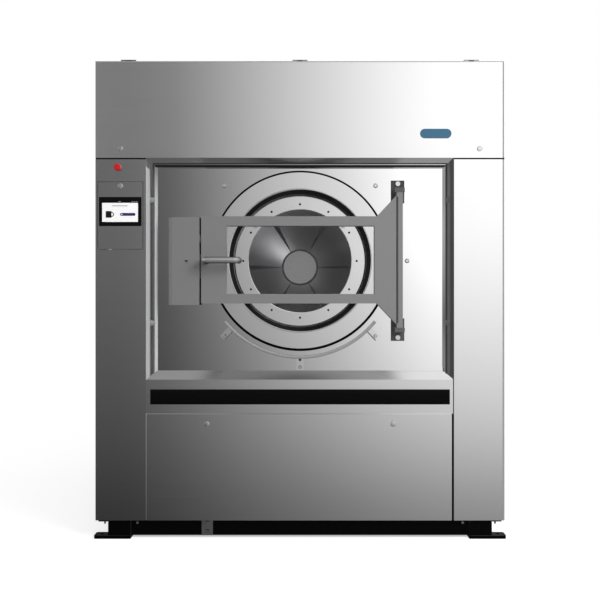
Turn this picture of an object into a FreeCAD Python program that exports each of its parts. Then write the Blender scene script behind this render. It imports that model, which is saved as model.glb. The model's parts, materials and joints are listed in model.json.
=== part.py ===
import FreeCAD, Part
import math
import os
from FreeCAD import Vector

# Industrial washer-extractor, in millimetres.
# X runs to the right, Y to the back and Z up. The front is at low Y.
# The origin is on the floor under the middle of the machine.

# Cabinet
cabinet_width = 1800.0
cabinet_depth = 1780.0
cabinet_height = 2105.0
base_height = 84.0
skin = 2.0
fold = 18.0
side_fold = 22.0
frame_tube = 40.0
frame_setback = 26.0
tube_wall = 3.0
front_reach = 40.0
rear_reach = 40.0

# Running fits and clear gaps
fit = 0.05
seat_gap = 0.3
panel_gap = 2.0

# Domed screw heads and nuts narrow to this share of their foot
dome_taper = 0.6

# Base
foot_thickness = 14.0
foot_overhang = 11.0
foot_depth = 60.0
foot_rounding = 10.0
foot_setback = 10.0
anchor_hole_radius = 9.0
beam_inset = 52.0
beam_width = 100.0
beam_setback = 15.0
beam_wall = 6.0
cross_beam_floor_gap = 13.0
base_flange = 6.0
base_flange_inset = 12.0
base_flange_setback = 4.0
front_beam_setback = 25.0
front_beam_depth = 60.0
base_bolt_inset = 180.0
base_bolt_z = 68.0
base_bolt_radius = 5.0
base_bolt_head = 5.0
leveller_inset = 40.0
leveller_radius = 4.0
leveller_length = 10.0
bracket_left = -435.0
bracket_width = 49.0
bracket_bottom = 17.0
bracket_height = 64.0
bracket_thickness = 5.0
bracket_slot_length = 19.0
bracket_slot_height = 5.0
bracket_slot_margin = 6.0
bracket_slot_low = 19.0

# Front of the cabinet
pillar_width = 222.0
pillar_return = 90.0
pillar_top_gap = 7.0
recess_rise = 440.0
recess_depth = 290.0
sill_drop = 537.0
sill_rise = 17.0
sill_back_gap = 12.0
apron_right_gap = 5.0
apron_height = 149.0
bumper_margin = 21.0
bumper_lift = 42.0
bumper_height = 65.0
bumper_thickness = 25.0
bumper_rounding = 10.0
lintel_depth = 150.0
lintel_lip = 28.0
recess_post_gap = 12.0
recess_post_wall = 12.0
recess_post_depth = 86.0
recess_beam_lift = 20.0
recess_nut_rise = 274.0
recess_nut_drop = 292.0
recess_nut_radius = 12.0
recess_nut_height = 9.0
recess_screw_high = 367.0
recess_screw_low = 78.0
recess_screw_radius = 6.0
recess_screw_height = 3.0

# Hinges of the panels
hinge_width = 66.0
hinge_spacing = 755.0
hinge_setback = 6.0
hinge_radius = 5.0
hinge_pin_radius = 2.5
hinge_lift = 2.0
roof_front_gap = 14.0
lower_panel_right_gap = 10.0
lower_pin_radius = 4.0
lower_pin_inset = 12.0

# Quarter-turn locks
lock_head_radius = 12.0
lock_head_height = 4.0
lock_stem_radius = 8.0
cam_length = 50.0
cam_width = 16.0
cam_thickness = 4.0
cam_depth = 27.0
top_lock_inset = 110.0
top_lock_height = 40.0
lower_lock_x = 410.0
lower_lock_drop = 44.0

# Badge plate, left blank
badge_x = 597.0
badge_rise = 106.0
badge_width = 138.0
badge_height = 42.0
badge_thickness = 3.0
badge_end_flat = 0.2

# Controls on the left pillar
control_margin = 9.0
control_width = 201.0
control_rise = 36.0
control_height = 299.0
control_gap = 2.0
control_fold = 12.0
control_pin_radius = 3.0
control_pin_inset = 6.0
control_lock_drop = 20.0
control_cam_depth = 4.0
control_cam_length = 40.0
display_width = 187.0
display_height = 128.0
display_lift = 103.0
display_proud = 3.0
display_depth = 20.0
display_rim = 10.0
stop_inset = 103.0
stop_drop = 46.0
stop_cap_radius = 15.5
stop_cap_height = 25.0
stop_cap_rounding = 6.0
stop_stem_radius = 10.0
stop_stem_depth = 30.0
stop_travel = 5.0
stop_block_size = 60.0
control_box_depth = 400.0
control_box_tub_gap = 22.0
control_box_height = 500.0
control_box_drop = 240.0
control_box_setback = 300.0

# Tub, hung on air springs
tub_headroom = 175.0
tub_floor_room = 550.0
tub_wall = 4.0
tub_front_gap = 48.0
tub_length = 900.0
tub_back_thickness = 12.0
tub_mouth_radius = 318.0
tray_hole_radius = 423.0
tray_flange = 110.0
tray_flange_lift = 15.0
tray_skirt = 20.0
tray_screw_x = 359.0
tray_screw_z = 357.0
tray_screw_side = 509.0
tray_screw_radius = 11.0
tray_screw_head = 5.0
standoff_radius = 18.0
saddle_thickness = 14.0
saddle_half_width = 720.0
saddle_bottom = 480.0
saddle_rise = 350.0
saddle_flange_width = 220.0
saddle_flange_depth = 180.0
saddle_flange_thickness = 12.0
saddle_inset = 180.0
spring_x = 600.0
spring_height = 200.0
spring_radius = 115.0
spring_waist = 92.0
spring_folds = 3
pedestal_size = 160.0

# Door opening
collar_radius = 414.0
collar_lip_radius = 334.0
collar_proud = 40.0
collar_wall = 3.0
collar_rounding = 12.0
gasket_mouth_radius = 323.0
gasket_throat_radius = 313.0
gutter_radius = 455.0
gutter_wall = 6.0
gutter_depth = 28.0
gutter_half_angle = 51.0
gutter_tab_width = 35.0
gutter_tab_length = 66.0
gutter_tab_thickness = 3.0
gutter_tab_angle = 45.0
gutter_screw_circle = 505.0
gutter_screw_radius = 8.0
gutter_hole_radius = 6.0

# Door
frame_front = 190.0
frame_thickness = 45.0
frame_left = -458.0
frame_right = 446.0
frame_half_height = 202.0
frame_flare_x = 356.0
frame_flare_half_height = 298.0
window_left = -342.0
window_right = 345.0
window_half_height = 158.0
ring_radius = 311.0
ring_inner_radius = 244.0
ring_depth = 300.0
ring_thickness = 12.0
ring_rounding = 3.0
ring_screw_circle = 270.0
ring_screw_count = 12
ring_screw_radius = 5.0
ring_screw_head = 5.0
ring_post_x = 210.0
ring_post_z = 180.0
ring_post_radius = 16.0
glass_rim_radius = 262.0
glass_thickness = 8.0
glass_bowl_radius = 170.0
glass_bowl_depth = 120.0
hinge_axis_x = 463.0
hinge_axis_depth = 215.0
hinge_bar_width = 28.0
hinge_bar_depth = 40.0
hinge_bar_half_length = 315.0
hinge_strip_reach = 63.0
hinge_strip_thickness = 8.0
hinge_strip_half_length = 240.0
door_pin_radius = 9.0
knuckle_height = 20.0
knuckle_width = 46.0
bracket_plate_width = 63.0
bracket_plate_top = 380.0
bracket_plate_bottom = 273.0
bracket_plate_thickness = 12.0
bracket_bolt_z = 364.0
bracket_bolt_radius = 11.0
bracket_bolt_head = 10.0

# Handle, latch and lock
handle_x = -434.0
handle_drop = 5.0
handle_depth = 105.0
handle_radius = 13.5
handle_length = 155.0
handle_return = 45.0
spindle_radius = 10.0
tongue_length = 64.0
tongue_width = 24.0
tongue_thickness = 12.0
lock_gap = 8.0
lock_recess_gap = 69.0
lock_top = 198.0
lock_bottom = 209.0
lock_wall = 4.0
lock_bevel = 13.0
lock_screw_inset = 60.0
lock_screw_radius = 6.0
lock_screw_head = 3.0
bolt_lift = 100.0
bolt_radius = 10.0
bolt_slack = 1.5
bolt_travel = 15.0
bolt_hole_depth = 24.0

# Drum
drum_tub_gap = 70.0
drum_wall = 3.0
drum_front_gap = 40.0
drum_rear_gap = 40.0
drum_mouth_radius = 340.0
drum_lip = 30.0
crease_count = 6
crease_height = 26.0
crease_half_width = 42.0
crease_hub_half_width = 3.0
cone_depth = 130.0
cone_hub_radius = 100.0
cone_wall = 5.0
hub_radius = 86.0
hub_cover_thickness = 6.0
spider_arms = 3
spider_arm_width = 60.0
spider_arm_depth = 40.0
lifter_count = 3
lifter_height = 110.0
lifter_half_width = 75.0
lifter_margin = 40.0
lifter_wall = 3.0

# Drive
shaft_radius = 60.0
bearing_radius = 110.0
bearing_width = 60.0
bearing_margin = 10.0
housing_radius = 150.0
housing_length = 228.0
housing_flange_radius = 260.0
housing_flange_thickness = 20.0
housing_rib_count = 6
housing_rib_width = 16.0
seal_radius = 95.0
pulley_gap = 20.0
pulley_width = 80.0
pulley_radius = 350.0
pulley_rim = 20.0
pulley_hub_radius = 110.0
pulley_web = 20.0
shaft_tail = 20.0
motor_side_gap = 200.0
motor_tub_gap = 56.0
motor_radius = 150.0
motor_length = 480.0
motor_shaft_radius = 19.0
motor_shaft_grip = 40.0
motor_pulley_radius = 80.0
motor_plate_thickness = 14.0
motor_plate_half_width = 140.0
motor_plate_spacing = 170.0
motor_plate_margin = 20.0
belt_count = 3
belt_width = 18.0
belt_thickness = 8.0

# Water and power
drain_radius = 55.0
drain_wall = 3.0
drain_spigot_step = 2.0
drain_valve_bottom = 380.0
drain_hose_bottom = 250.0
drain_hose_folds = 4
drain_hose_rib = 6.0
valve_box = 100.0
inlet_count = 3
inlet_left = -500.0
inlet_spacing = 100.0
inlet_drop = 205.0
inlet_radius = 13.2
inlet_neck_step = 1.3
inlet_bore = 9.0
inlet_flange_radius = 24.0
inlet_flange_thickness = 8.0
inlet_body = 60.0
gland_x = -700.0
gland_z = 1500.0
gland_radius = 16.0
gland_bore = 9.0
gland_nut_radius = 24.0
gland_nut_thickness = 8.0
gland_length = 30.0

# Places worked out from the sizes above
half_width = cabinet_width / 2
inner_half = half_width - skin
front = -cabinet_depth / 2
rear = cabinet_depth / 2
rear_inner = rear - skin
roof_under = cabinet_height - skin
pillar_inner = half_width - pillar_width
tub_radius = (cabinet_height - tub_headroom - tub_floor_room) / 2
door_axis_z = tub_floor_room + tub_radius
drum_radius = tub_radius - drum_tub_gap
top_panel_bottom = door_axis_z + recess_rise
sill_front_height = door_axis_z - sill_drop
apron_bottom = sill_front_height - apron_height
bumper_bottom = apron_bottom + bumper_lift
bumper_length = 2 * (pillar_inner - bumper_margin)
badge_z = top_panel_bottom + badge_rise
foot_outer = half_width + foot_overhang
beam_outer = half_width - beam_inset
base_bolt_x = half_width - base_bolt_inset
leveller_x = half_width - leveller_inset
top_lock_x = half_width - top_lock_inset
control_left = -half_width + control_margin
control_bottom = door_axis_z + control_rise
stop_x = -half_width + stop_inset
stop_z = top_panel_bottom - stop_drop
control_box_width = inner_half - tub_radius - control_box_tub_gap
control_box_bottom = door_axis_z - control_box_drop
saddle_top = tub_floor_room + saddle_rise
inlet_z = cabinet_height - inlet_drop
pillar_top = top_panel_bottom - pillar_top_gap
post_inner = inner_half - frame_tube
beam_inner = beam_outer - beam_width


def back(depth):
    return front + depth


tray_face = back(recess_depth)
tray_rear = tray_face + skin
tub_front = tray_rear + tub_front_gap
tub_rear = tub_front + tub_length
spring_stations = (tub_front + saddle_inset, tub_rear - saddle_inset)
spring_foot = saddle_bottom - spring_height
housing_front = tub_rear + tub_back_thickness
housing_rear = housing_front + housing_length
pulley_front = housing_rear + pulley_gap
pulley_rear = pulley_front + pulley_width
drum_front = tub_front + drum_front_gap
drum_rear = tub_rear - drum_rear_gap
cone_front = drum_rear - cone_depth
drum_inside = drum_radius - drum_wall - fit
cone_slope = cone_depth / (drum_inside - cone_hub_radius)
drain_y = (tub_front + tub_rear) / 2
frame_face = back(frame_front)
frame_back = frame_face + frame_thickness
ring_face = back(ring_depth)
hinge_y = back(hinge_axis_depth)
lock_right = frame_left - lock_gap
lock_left = -pillar_inner + lock_recess_gap
bolt_length = (lock_right - lock_left) / 2 - bolt_slack
lock_screw_x = lock_right - lock_screw_inset
handle_z = door_axis_z - handle_drop
bolt_z = door_axis_z + bolt_lift
bolt_y = frame_face + frame_thickness / 2
tongue_y = frame_back + seat_gap
motor_x = half_width - motor_side_gap
motor_rise = math.sqrt((tub_radius + motor_radius + motor_tub_gap) ** 2 - motor_x ** 2)
motor_z = door_axis_z + motor_rise
motor_rear = housing_rear
top_lock_z = top_panel_bottom + top_lock_height
lower_panel_top = apron_bottom - panel_gap
lower_lock_z = lower_panel_top - lower_lock_drop
control_right = control_left + control_width
control_top = control_bottom + control_height
control_x = (control_left + control_right) / 2
control_lock_z = control_top - control_lock_drop
top_hinge_y = back(hinge_setback)
top_hinge_z = cabinet_height + hinge_lift
lower_hinge_y = back(lower_pin_inset)
lower_hinge_z = base_height + lower_pin_inset
control_hinge_y = back(control_pin_inset)
control_hinge_z = control_bottom + control_gap + control_pin_inset


# Shapes used by many pieces
def block(x, y, z):
    return Part.makeBox(x[1] - x[0], y[1] - y[0], z[1] - z[0], Vector(x[0], y[0], z[0]))


def rod_x(y, z, radius, x0, x1):
    return Part.makeCylinder(radius, x1 - x0, Vector(x0, y, z), Vector(1, 0, 0))


def rod_y(x, z, radius, y0, y1):
    return Part.makeCylinder(radius, y1 - y0, Vector(x, y0, z), Vector(0, 1, 0))


def rod_z(x, y, radius, z0, z1):
    return Part.makeCylinder(radius, z1 - z0, Vector(x, y, z0), Vector(0, 0, 1))


def ring_y(x, z, outer, inner, y0, y1):
    return rod_y(x, z, outer, y0, y1).cut(rod_y(x, z, inner, y0, y1))


def dome(seat, outward, radius, height):
    return Part.makeCone(radius, radius * dome_taper, height, seat, outward)


def dome_y(x, z, radius, height, face):
    return dome(Vector(x, face, z), Vector(0, -1, 0), radius, height)


def turned_y(profile, x, z):
    # profile holds (radius, y) corners
    corners = [Vector(x + radius, y, z) for radius, y in profile]
    face = Part.Face(Part.makePolygon(corners + corners[:1]))
    return face.revolve(Vector(x, 0, z), Vector(0, 1, 0), 360)


def turned_z(profile, x, y):
    # profile holds (radius, z) corners
    corners = [Vector(x + radius, y, z) for radius, z in profile]
    face = Part.Face(Part.makePolygon(corners + corners[:1]))
    return face.revolve(Vector(x, y, 0), Vector(0, 0, 1), 360)


def plate_y(outline, y0, y1):
    # outline holds (x, z) corners
    corners = [Vector(x, y0, z) for x, z in outline]
    face = Part.Face(Part.makePolygon(corners + corners[:1]))
    return face.extrude(Vector(0, y1 - y0, 0))


def plate_x(outline, x0, x1):
    # outline holds (y, z) corners
    corners = [Vector(x0, y, z) for y, z in outline]
    face = Part.Face(Part.makePolygon(corners + corners[:1]))
    return face.extrude(Vector(x1 - x0, 0, 0))


def joined(shapes):
    return shapes[0].multiFuse(shapes[1:]).removeSplitter()


def mirrored(shape):
    return shape.mirror(Vector(0, 0, 0), Vector(1, 0, 0))


def both_sides(shape):
    return [shape, mirrored(shape)]


def about_door_axis(shape, angle):
    turned = shape.copy()
    turned.rotate(Vector(0, 0, door_axis_z), Vector(0, 1, 0), angle)
    return turned


def channel(x, y, z, wall):
    # beam of bent plate with closed ends, open underneath
    inside = block((x[0] + wall, x[1] - wall), (y[0] + wall, y[1] - wall), (z[0], z[1] - wall))
    return block(x, y, z).cut(inside)


def hollow_tube(x, y, z, wall, along):
    spans = [list(x), list(y), list(z)]
    for axis in range(3):
        if axis != along:
            spans[axis] = [spans[axis][0] + wall, spans[axis][1] - wall]
    return block(x, y, z).cut(block(*spans))


# Base
def make_base_frame():
    low = cross_beam_floor_gap
    side = channel((beam_inner, beam_outer), (front + beam_setback, rear - beam_setback),
                   (foot_thickness, base_height), beam_wall)
    flange = block((beam_outer, half_width - base_flange_inset),
                   (front + base_flange_setback, rear - beam_setback),
                   (base_height - base_flange, base_height))
    members = both_sides(joined([side, flange]))
    near = back(front_beam_setback)
    far = rear - front_beam_setback
    rows = [(near, near + front_beam_depth), (far - front_beam_depth, far)]
    for station in spring_stations:
        rows.append((station - pedestal_size / 2, station + pedestal_size / 2))
        for side_x in (-spring_x, spring_x):
            members.append(channel((side_x - pedestal_size / 2, side_x + pedestal_size / 2),
                                   (station - pedestal_size / 2, station + pedestal_size / 2),
                                   (base_height, spring_foot), beam_wall))
    for row in rows:
        members.append(channel((-beam_inner, beam_inner), row, (low, base_height), beam_wall))
    return Part.makeCompound(members)


def make_foot_plates():
    plates = []
    rows = ((front + foot_setback, front + foot_setback + foot_depth),
            (rear - foot_setback - foot_depth, rear - foot_setback))
    for row in rows:
        plate = block((beam_inner, foot_outer), row, (0, foot_thickness))
        hole_x = (beam_outer + foot_outer) / 2
        plate = plate.cut(rod_z(hole_x, (row[0] + row[1]) / 2, anchor_hole_radius, 0, foot_thickness))
        corners = [edge for edge in plate.Edges if abs(edge.BoundBox.XMin - foot_outer) < 0.001
                   and edge.BoundBox.ZLength > foot_thickness / 2]
        plate = plate.makeFillet(foot_rounding, corners)
        plates.extend(both_sides(plate))
    return Part.makeCompound(plates)


def make_base_bracket():
    face = back(front_beam_setback)
    right = bracket_left + bracket_width
    top = bracket_bottom + bracket_height
    plate = block((bracket_left, right), (face - bracket_thickness, face), (bracket_bottom, top))
    middle = (bracket_left + right) / 2
    span = (middle - bracket_slot_length / 2, middle + bracket_slot_length / 2)
    slot_heights = (top - bracket_slot_margin, bracket_bottom + bracket_slot_low)
    for z in slot_heights:
        plate = plate.cut(block(span, (face - bracket_thickness, face),
                                (z - bracket_slot_height / 2, z + bracket_slot_height / 2)))
    return plate


def make_cabinet_fasteners():
    face = back(front_beam_setback)
    flange_under = base_height - base_flange
    solids = []
    for x in (-base_bolt_x, base_bolt_x):
        solids.append(rod_y(x, base_bolt_z, base_bolt_radius, face - base_bolt_head, face))
    for x in (-leveller_x, leveller_x):
        solids.append(rod_z(x, front + fold / 2, leveller_radius,
                            flange_under - leveller_length, flange_under))
    web = pillar_inner + skin + recess_post_gap
    post_middle = back(pillar_return + recess_post_depth / 2)
    for rise in (recess_nut_rise, -recess_nut_drop):
        seat = Vector(web, post_middle, door_axis_z + rise)
        solids.extend(both_sides(dome(seat, Vector(-1, 0, 0), recess_nut_radius, recess_nut_height)))
    for rise in (recess_screw_high, recess_screw_low):
        seat = Vector(web, post_middle, door_axis_z + rise)
        solids.extend(both_sides(dome(seat, Vector(-1, 0, 0), recess_screw_radius, recess_screw_height)))
    return Part.makeCompound(solids)


# Cabinet frame and skins
def make_cabinet_frame():
    near = (back(frame_setback), back(frame_setback) + frame_tube)
    far = (rear_inner - frame_tube, rear_inner)
    low = (base_height, base_height + frame_tube)
    high = (roof_under - frame_tube, roof_under)
    side = (post_inner, inner_half)
    solids = []
    for row in (near, far):
        post = hollow_tube(side, row, (base_height, roof_under), tube_wall, 2)
        solids.extend(both_sides(post))
        solids.append(hollow_tube((-post_inner, post_inner), row, high, tube_wall, 0))
    solids.append(hollow_tube((-post_inner, post_inner), far, low, tube_wall, 0))
    for level in (low, high):
        solids.extend(both_sides(hollow_tube(side, (near[1], far[0]), level, tube_wall, 1)))
    outer = pillar_inner + skin
    web = outer + recess_post_gap
    post_top = top_panel_bottom + recess_beam_lift
    post_span = (sill_front_height, post_top)
    flange = block((outer, web + recess_post_wall),
                   (back(pillar_return - recess_post_wall), back(pillar_return)), post_span)
    sheet = block((web, web + recess_post_wall),
                  (back(pillar_return), back(pillar_return + recess_post_depth)), post_span)
    solids.extend(both_sides(joined([flange, sheet])))
    solids.append(block((-web - recess_post_wall, web + recess_post_wall),
                        (back(lintel_depth + panel_gap), back(pillar_return + recess_post_depth)),
                        (post_top, post_top + recess_post_wall)))
    return Part.makeCompound(solids)


def make_pillar():
    inner, outer = pillar_inner, half_width
    low, high = base_height, pillar_top
    sheets = [block((inner, outer), (front, front + skin), (low, high)),
              block((inner, inner + skin), (front, back(pillar_return)), (low, high)),
              block((outer - skin, outer), (front, back(side_fold)), (low, high)),
              block((inner, outer), (front, back(fold)), (high - skin, high)),
              block((inner, outer), (front, back(fold)), (low, low + skin))]
    pillar = joined(sheets)
    return pillar.cut(rod_x(lower_hinge_y, lower_hinge_z, lower_pin_radius + fit, inner, inner + skin))


def make_left_pillar():
    pillar = mirrored(make_pillar())
    opening = block((control_left, control_right), (front, front + skin), (control_bottom, control_top))
    pillar = pillar.cut(opening)
    edge_span = (control_bottom, control_top)
    edge_depth = (front, back(control_fold + panel_gap))
    edges = [block((control_left - skin, control_left), edge_depth, edge_span),
             block((control_right, control_right + skin), edge_depth, edge_span)]
    pillar = joined([pillar] + edges)
    pillar = pillar.cut(rod_x(control_hinge_y, control_hinge_z, control_pin_radius + fit,
                              control_left - skin, control_right + skin))
    return pillar.cut(rod_y(stop_x, stop_z, stop_stem_radius + fit, front, front + skin))


def make_lintel():
    low = top_panel_bottom + skin
    near = back(frame_setback)
    under = block((-pillar_inner, pillar_inner), (near - skin, back(lintel_depth)), (low, low + skin))
    lip = block((-inner_half, inner_half), (near - skin, near), (low, low + lintel_lip))
    return joined([under, lip])


def make_side_panels():
    panel = block((inner_half, half_width), (back(side_fold), rear), (base_height, cabinet_height))
    return Part.makeCompound(both_sides(panel))


def inlet_places():
    return [(inlet_left + inlet_spacing * index, inlet_z) for index in range(inlet_count)]


def drain_pipe_z():
    return base_height + frame_tube + drain_radius + panel_gap


def make_rear_panel():
    panel = block((-inner_half, inner_half), (rear_inner, rear), (base_height, cabinet_height))
    for x, z in inlet_places():
        panel = panel.cut(rod_y(x, z, inlet_radius + inlet_neck_step + seat_gap, rear_inner, rear))
    panel = panel.cut(rod_y(gland_x, gland_z, gland_radius + seat_gap, rear_inner, rear))
    return panel.cut(rod_y(0, drain_pipe_z(), drain_radius + seat_gap, rear_inner, rear))


def hinge_places():
    return (-hinge_spacing, 0, hinge_spacing)


def make_roof_panel():
    edge = back(roof_front_gap)
    shapes = [block((-inner_half, inner_half), (edge, rear_inner), (roof_under, cabinet_height))]
    third = hinge_width / 6
    for x in hinge_places():
        left, right = x - hinge_width / 2, x + hinge_width / 2
        shapes.append(rod_x(top_hinge_y, top_hinge_z, hinge_radius, x - third, x + third))
        shapes.append(rod_x(top_hinge_y, top_hinge_z, hinge_pin_radius, left, right))
        shapes.append(block((x - third, x + third), (top_hinge_y, edge + hinge_radius),
                            (cabinet_height - skin / 2, cabinet_height + hinge_lift)))
    return joined(shapes)


def make_apron():
    left, right = -pillar_inner, pillar_inner - apron_right_gap
    lip_depth = back(frame_setback)
    sill_back = tray_face - sill_back_gap
    sill_top = sill_front_height + sill_rise
    face = block((left, right), (front, front + skin), (apron_bottom, sill_front_height))
    sill = plate_x([(front, sill_front_height - skin), (front, sill_front_height),
                    (sill_back, sill_top), (sill_back, sill_top - skin)], left, right)
    under = block((left, right), (front, lip_depth), (apron_bottom, apron_bottom + skin))
    lip = block((left, right), (lip_depth - skin, lip_depth),
                (apron_bottom - lintel_lip, apron_bottom + skin))
    return joined([face, sill, under, lip])


def make_bumper():
    half = bumper_length / 2
    face = front - bumper_thickness
    bar = block((-half, half), (face, front), (bumper_bottom, bumper_bottom + bumper_height))
    front_edges = [edge for edge in bar.Edges if abs(edge.CenterOfMass.y - face) < 0.001]
    return bar.makeFillet(bumper_rounding, front_edges)


# Panels that open
def quarter_turn_lock(x, z, depth, length, toward):
    head = rod_y(x, z, lock_head_radius, front - lock_head_height, front)
    stem = rod_y(x, z, lock_stem_radius, front, back(depth) + cam_thickness)
    reach = sorted((x, x + toward * length))
    cam = block(reach, (back(depth), back(depth) + cam_thickness), (z - cam_width / 2, z + cam_width / 2))
    return joined([head, stem, cam])


def lock_hole(x, z):
    return rod_y(x, z, lock_stem_radius + fit, front, front + skin)


def make_top_panel():
    low, high = top_panel_bottom, cabinet_height
    shapes = [block((-half_width, half_width), (front, front + skin), (low, high)),
              block((-half_width, half_width), (front, back(fold)), (low, low + skin))]
    side = block((half_width - skin, half_width), (front, back(fold)), (low, high - fold))
    shapes.extend(both_sides(side))
    third = hinge_width / 6
    for x in hinge_places():
        for span in ((x - hinge_width / 2, x - third - seat_gap),
                     (x + third + seat_gap, x + hinge_width / 2)):
            shapes.append(rod_x(top_hinge_y, top_hinge_z, hinge_radius, *span))
            shapes.append(block(span, (front, top_hinge_y), (high - hinge_radius, top_hinge_z)))
    panel = joined(shapes)
    for x in hinge_places():
        panel = panel.cut(rod_x(top_hinge_y, top_hinge_z, hinge_pin_radius + fit,
                                x - hinge_width / 2, x + hinge_width / 2))
        panel = panel.cut(rod_x(top_hinge_y, top_hinge_z, hinge_radius + seat_gap,
                                x - third - seat_gap, x + third + seat_gap))
    for x in (-top_lock_x, top_lock_x):
        panel = panel.cut(lock_hole(x, top_lock_z))
    return panel


def make_badge_plate():
    plate = block((badge_x - badge_width / 2, badge_x + badge_width / 2), (front - badge_thickness, front),
                  (badge_z - badge_height / 2, badge_z + badge_height / 2))
    corners = [edge for edge in plate.Edges if abs(edge.Length - badge_thickness) < 0.001]
    return plate.makeFillet((badge_height - badge_end_flat) / 2, corners)


def make_lower_panel():
    left = -pillar_inner + panel_gap
    right = pillar_inner - lower_panel_right_gap
    low, high = base_height, lower_panel_top
    shapes = [block((left, right), (front, front + skin), (low, high)),
              block((left, right), (front, back(fold)), (high - skin, high)),
              block((left, right), (front, back(fold)), (low, low + skin)),
              block((left, left + skin), (front, back(fold)), (low, high)),
              block((right - skin, right), (front, back(fold)), (low, high)),
              rod_x(lower_hinge_y, lower_hinge_z, lower_pin_radius, -pillar_inner - skin, left),
              rod_x(lower_hinge_y, lower_hinge_z, lower_pin_radius, right, pillar_inner + skin)]
    panel = joined(shapes)
    for x in (-lower_lock_x, lower_lock_x):
        panel = panel.cut(lock_hole(x, lower_lock_z))
    return panel


# Controls
def display_span():
    low = control_bottom + display_lift
    return (control_x - display_width / 2, control_x + display_width / 2), (low, low + display_height)


def make_control_door():
    left, right = control_left + control_gap, control_right - control_gap
    low, high = control_bottom + control_gap, control_top - control_gap
    shapes = [block((left, right), (front, front + skin), (low, high)),
              block((left, left + skin), (front, back(control_fold)), (low, high)),
              block((right - skin, right), (front, back(control_fold)), (low, high)),
              rod_x(control_hinge_y, control_hinge_z, control_pin_radius, control_left - skin, left),
              rod_x(control_hinge_y, control_hinge_z, control_pin_radius, right, control_right + skin)]
    door = joined(shapes)
    door = door.cut(lock_hole(control_x, control_lock_z))
    across, up = display_span()
    return door.cut(block((across[0] + display_rim, across[1] - display_rim), (front, front + skin),
                          (up[0] + display_rim, up[1] - display_rim)))


def make_display_panel():
    across, up = display_span()
    inset = display_rim + seat_gap
    bezel = block(across, (front - display_proud, front), up)
    body = block((across[0] + inset, across[1] - inset), (front, back(display_depth)),
                 (up[0] + inset, up[1] - inset))
    return joined([bezel, body])


def make_stop_button():
    cap_back = front - front_reach + stop_cap_height
    cap = rod_y(stop_x, stop_z, stop_cap_radius, front - front_reach, cap_back)
    rim = [edge for edge in cap.Edges if abs(edge.CenterOfMass.y - (front - front_reach)) < 0.001]
    cap = cap.makeFillet(stop_cap_rounding, rim)
    stem = rod_y(stop_x, stop_z, stop_stem_radius, cap_back, back(stop_stem_depth))
    return joined([cap, stem])


def make_control_box():
    near = back(control_box_setback)
    far = near + control_box_depth
    low, high = control_box_bottom, control_box_bottom + control_box_height
    right = -inner_half + control_box_width
    cabinet = block((-inner_half, right), (near, far), (low, high))
    cabinet = cabinet.cut(block((-inner_half + skin, right - skin), (near, far - skin),
                                (low + skin, high - skin)))
    half = stop_block_size / 2
    contacts = block((stop_x - half, stop_x + half), (front + skin, front + skin + stop_block_size),
                     (stop_z - half, stop_z + half))
    plunge = back(stop_stem_depth) + stop_travel + panel_gap
    contacts = contacts.cut(rod_y(stop_x, stop_z, stop_stem_radius + seat_gap, front + skin, plunge))
    return Part.makeCompound([cabinet, contacts])


# Water and power
def make_rear_fittings():
    solids = []
    half = inlet_body / 2
    flange_front = rear_inner - inlet_flange_thickness
    for x, z in inlet_places():
        body = block((x - half, x + half), (flange_front - inlet_body, flange_front), (z - half, z + half))
        flange = rod_y(x, z, inlet_flange_radius, flange_front, rear_inner)
        neck = rod_y(x, z, inlet_radius + inlet_neck_step, flange_front, rear)
        stub = rod_y(x, z, inlet_radius, flange_front, rear + rear_reach)
        valve = joined([body, flange, neck, stub])
        solids.append(valve.cut(rod_y(x, z, inlet_bore, flange_front, rear + rear_reach)))
    inside = rod_y(gland_x, gland_z, gland_nut_radius, rear_inner - gland_nut_thickness, rear_inner)
    outside = rod_y(gland_x, gland_z, gland_nut_radius, rear, rear + gland_nut_thickness)
    barrel = rod_y(gland_x, gland_z, gland_radius, rear_inner - gland_nut_thickness, rear + gland_length)
    gland = joined([inside, outside, barrel])
    solids.append(gland.cut(rod_y(gland_x, gland_z, gland_bore, rear_inner - gland_nut_thickness,
                                  rear + gland_length)))
    return Part.makeCompound(solids)


def drain_elbow(radius):
    level = drain_pipe_z()
    upright = rod_z(0, drain_y, radius, level, drain_hose_bottom)
    outlet = rod_y(0, level, radius, drain_y, rear + rear_reach)
    corner = Part.makeSphere(radius, Vector(0, drain_y, level))
    return joined([upright, outlet, corner])


def make_drain_outlet():
    # the spigot behind the rear panel is a little thinner than the pipe
    level = drain_pipe_z()
    spigot_radius = drain_radius - drain_spigot_step
    collar = ring_y(0, level, drain_radius, spigot_radius, rear, rear + rear_reach)
    pipe = drain_elbow(drain_radius).cut(collar)
    return pipe.cut(drain_elbow(spigot_radius - drain_wall))


def make_drain_hose():
    # ribbed tube with a straight ring at each end
    pitch = (drain_valve_bottom - drain_hose_bottom) / (drain_hose_folds + 0.5)
    outline = [(drain_radius, drain_hose_bottom)]
    for index in range(drain_hose_folds):
        low = drain_hose_bottom + pitch * (index + 0.25)
        outline.append((drain_radius, low))
        outline.append((drain_radius + drain_hose_rib, low + pitch * 0.25))
        outline.append((drain_radius + drain_hose_rib, low + pitch * 0.75))
        outline.append((drain_radius, low + pitch))
    outline.append((drain_radius, drain_valve_bottom))
    bore = drain_radius - drain_wall
    outline.append((bore, drain_valve_bottom))
    outline.append((bore, drain_hose_bottom))
    return turned_z(outline, 0, drain_y)


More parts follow.
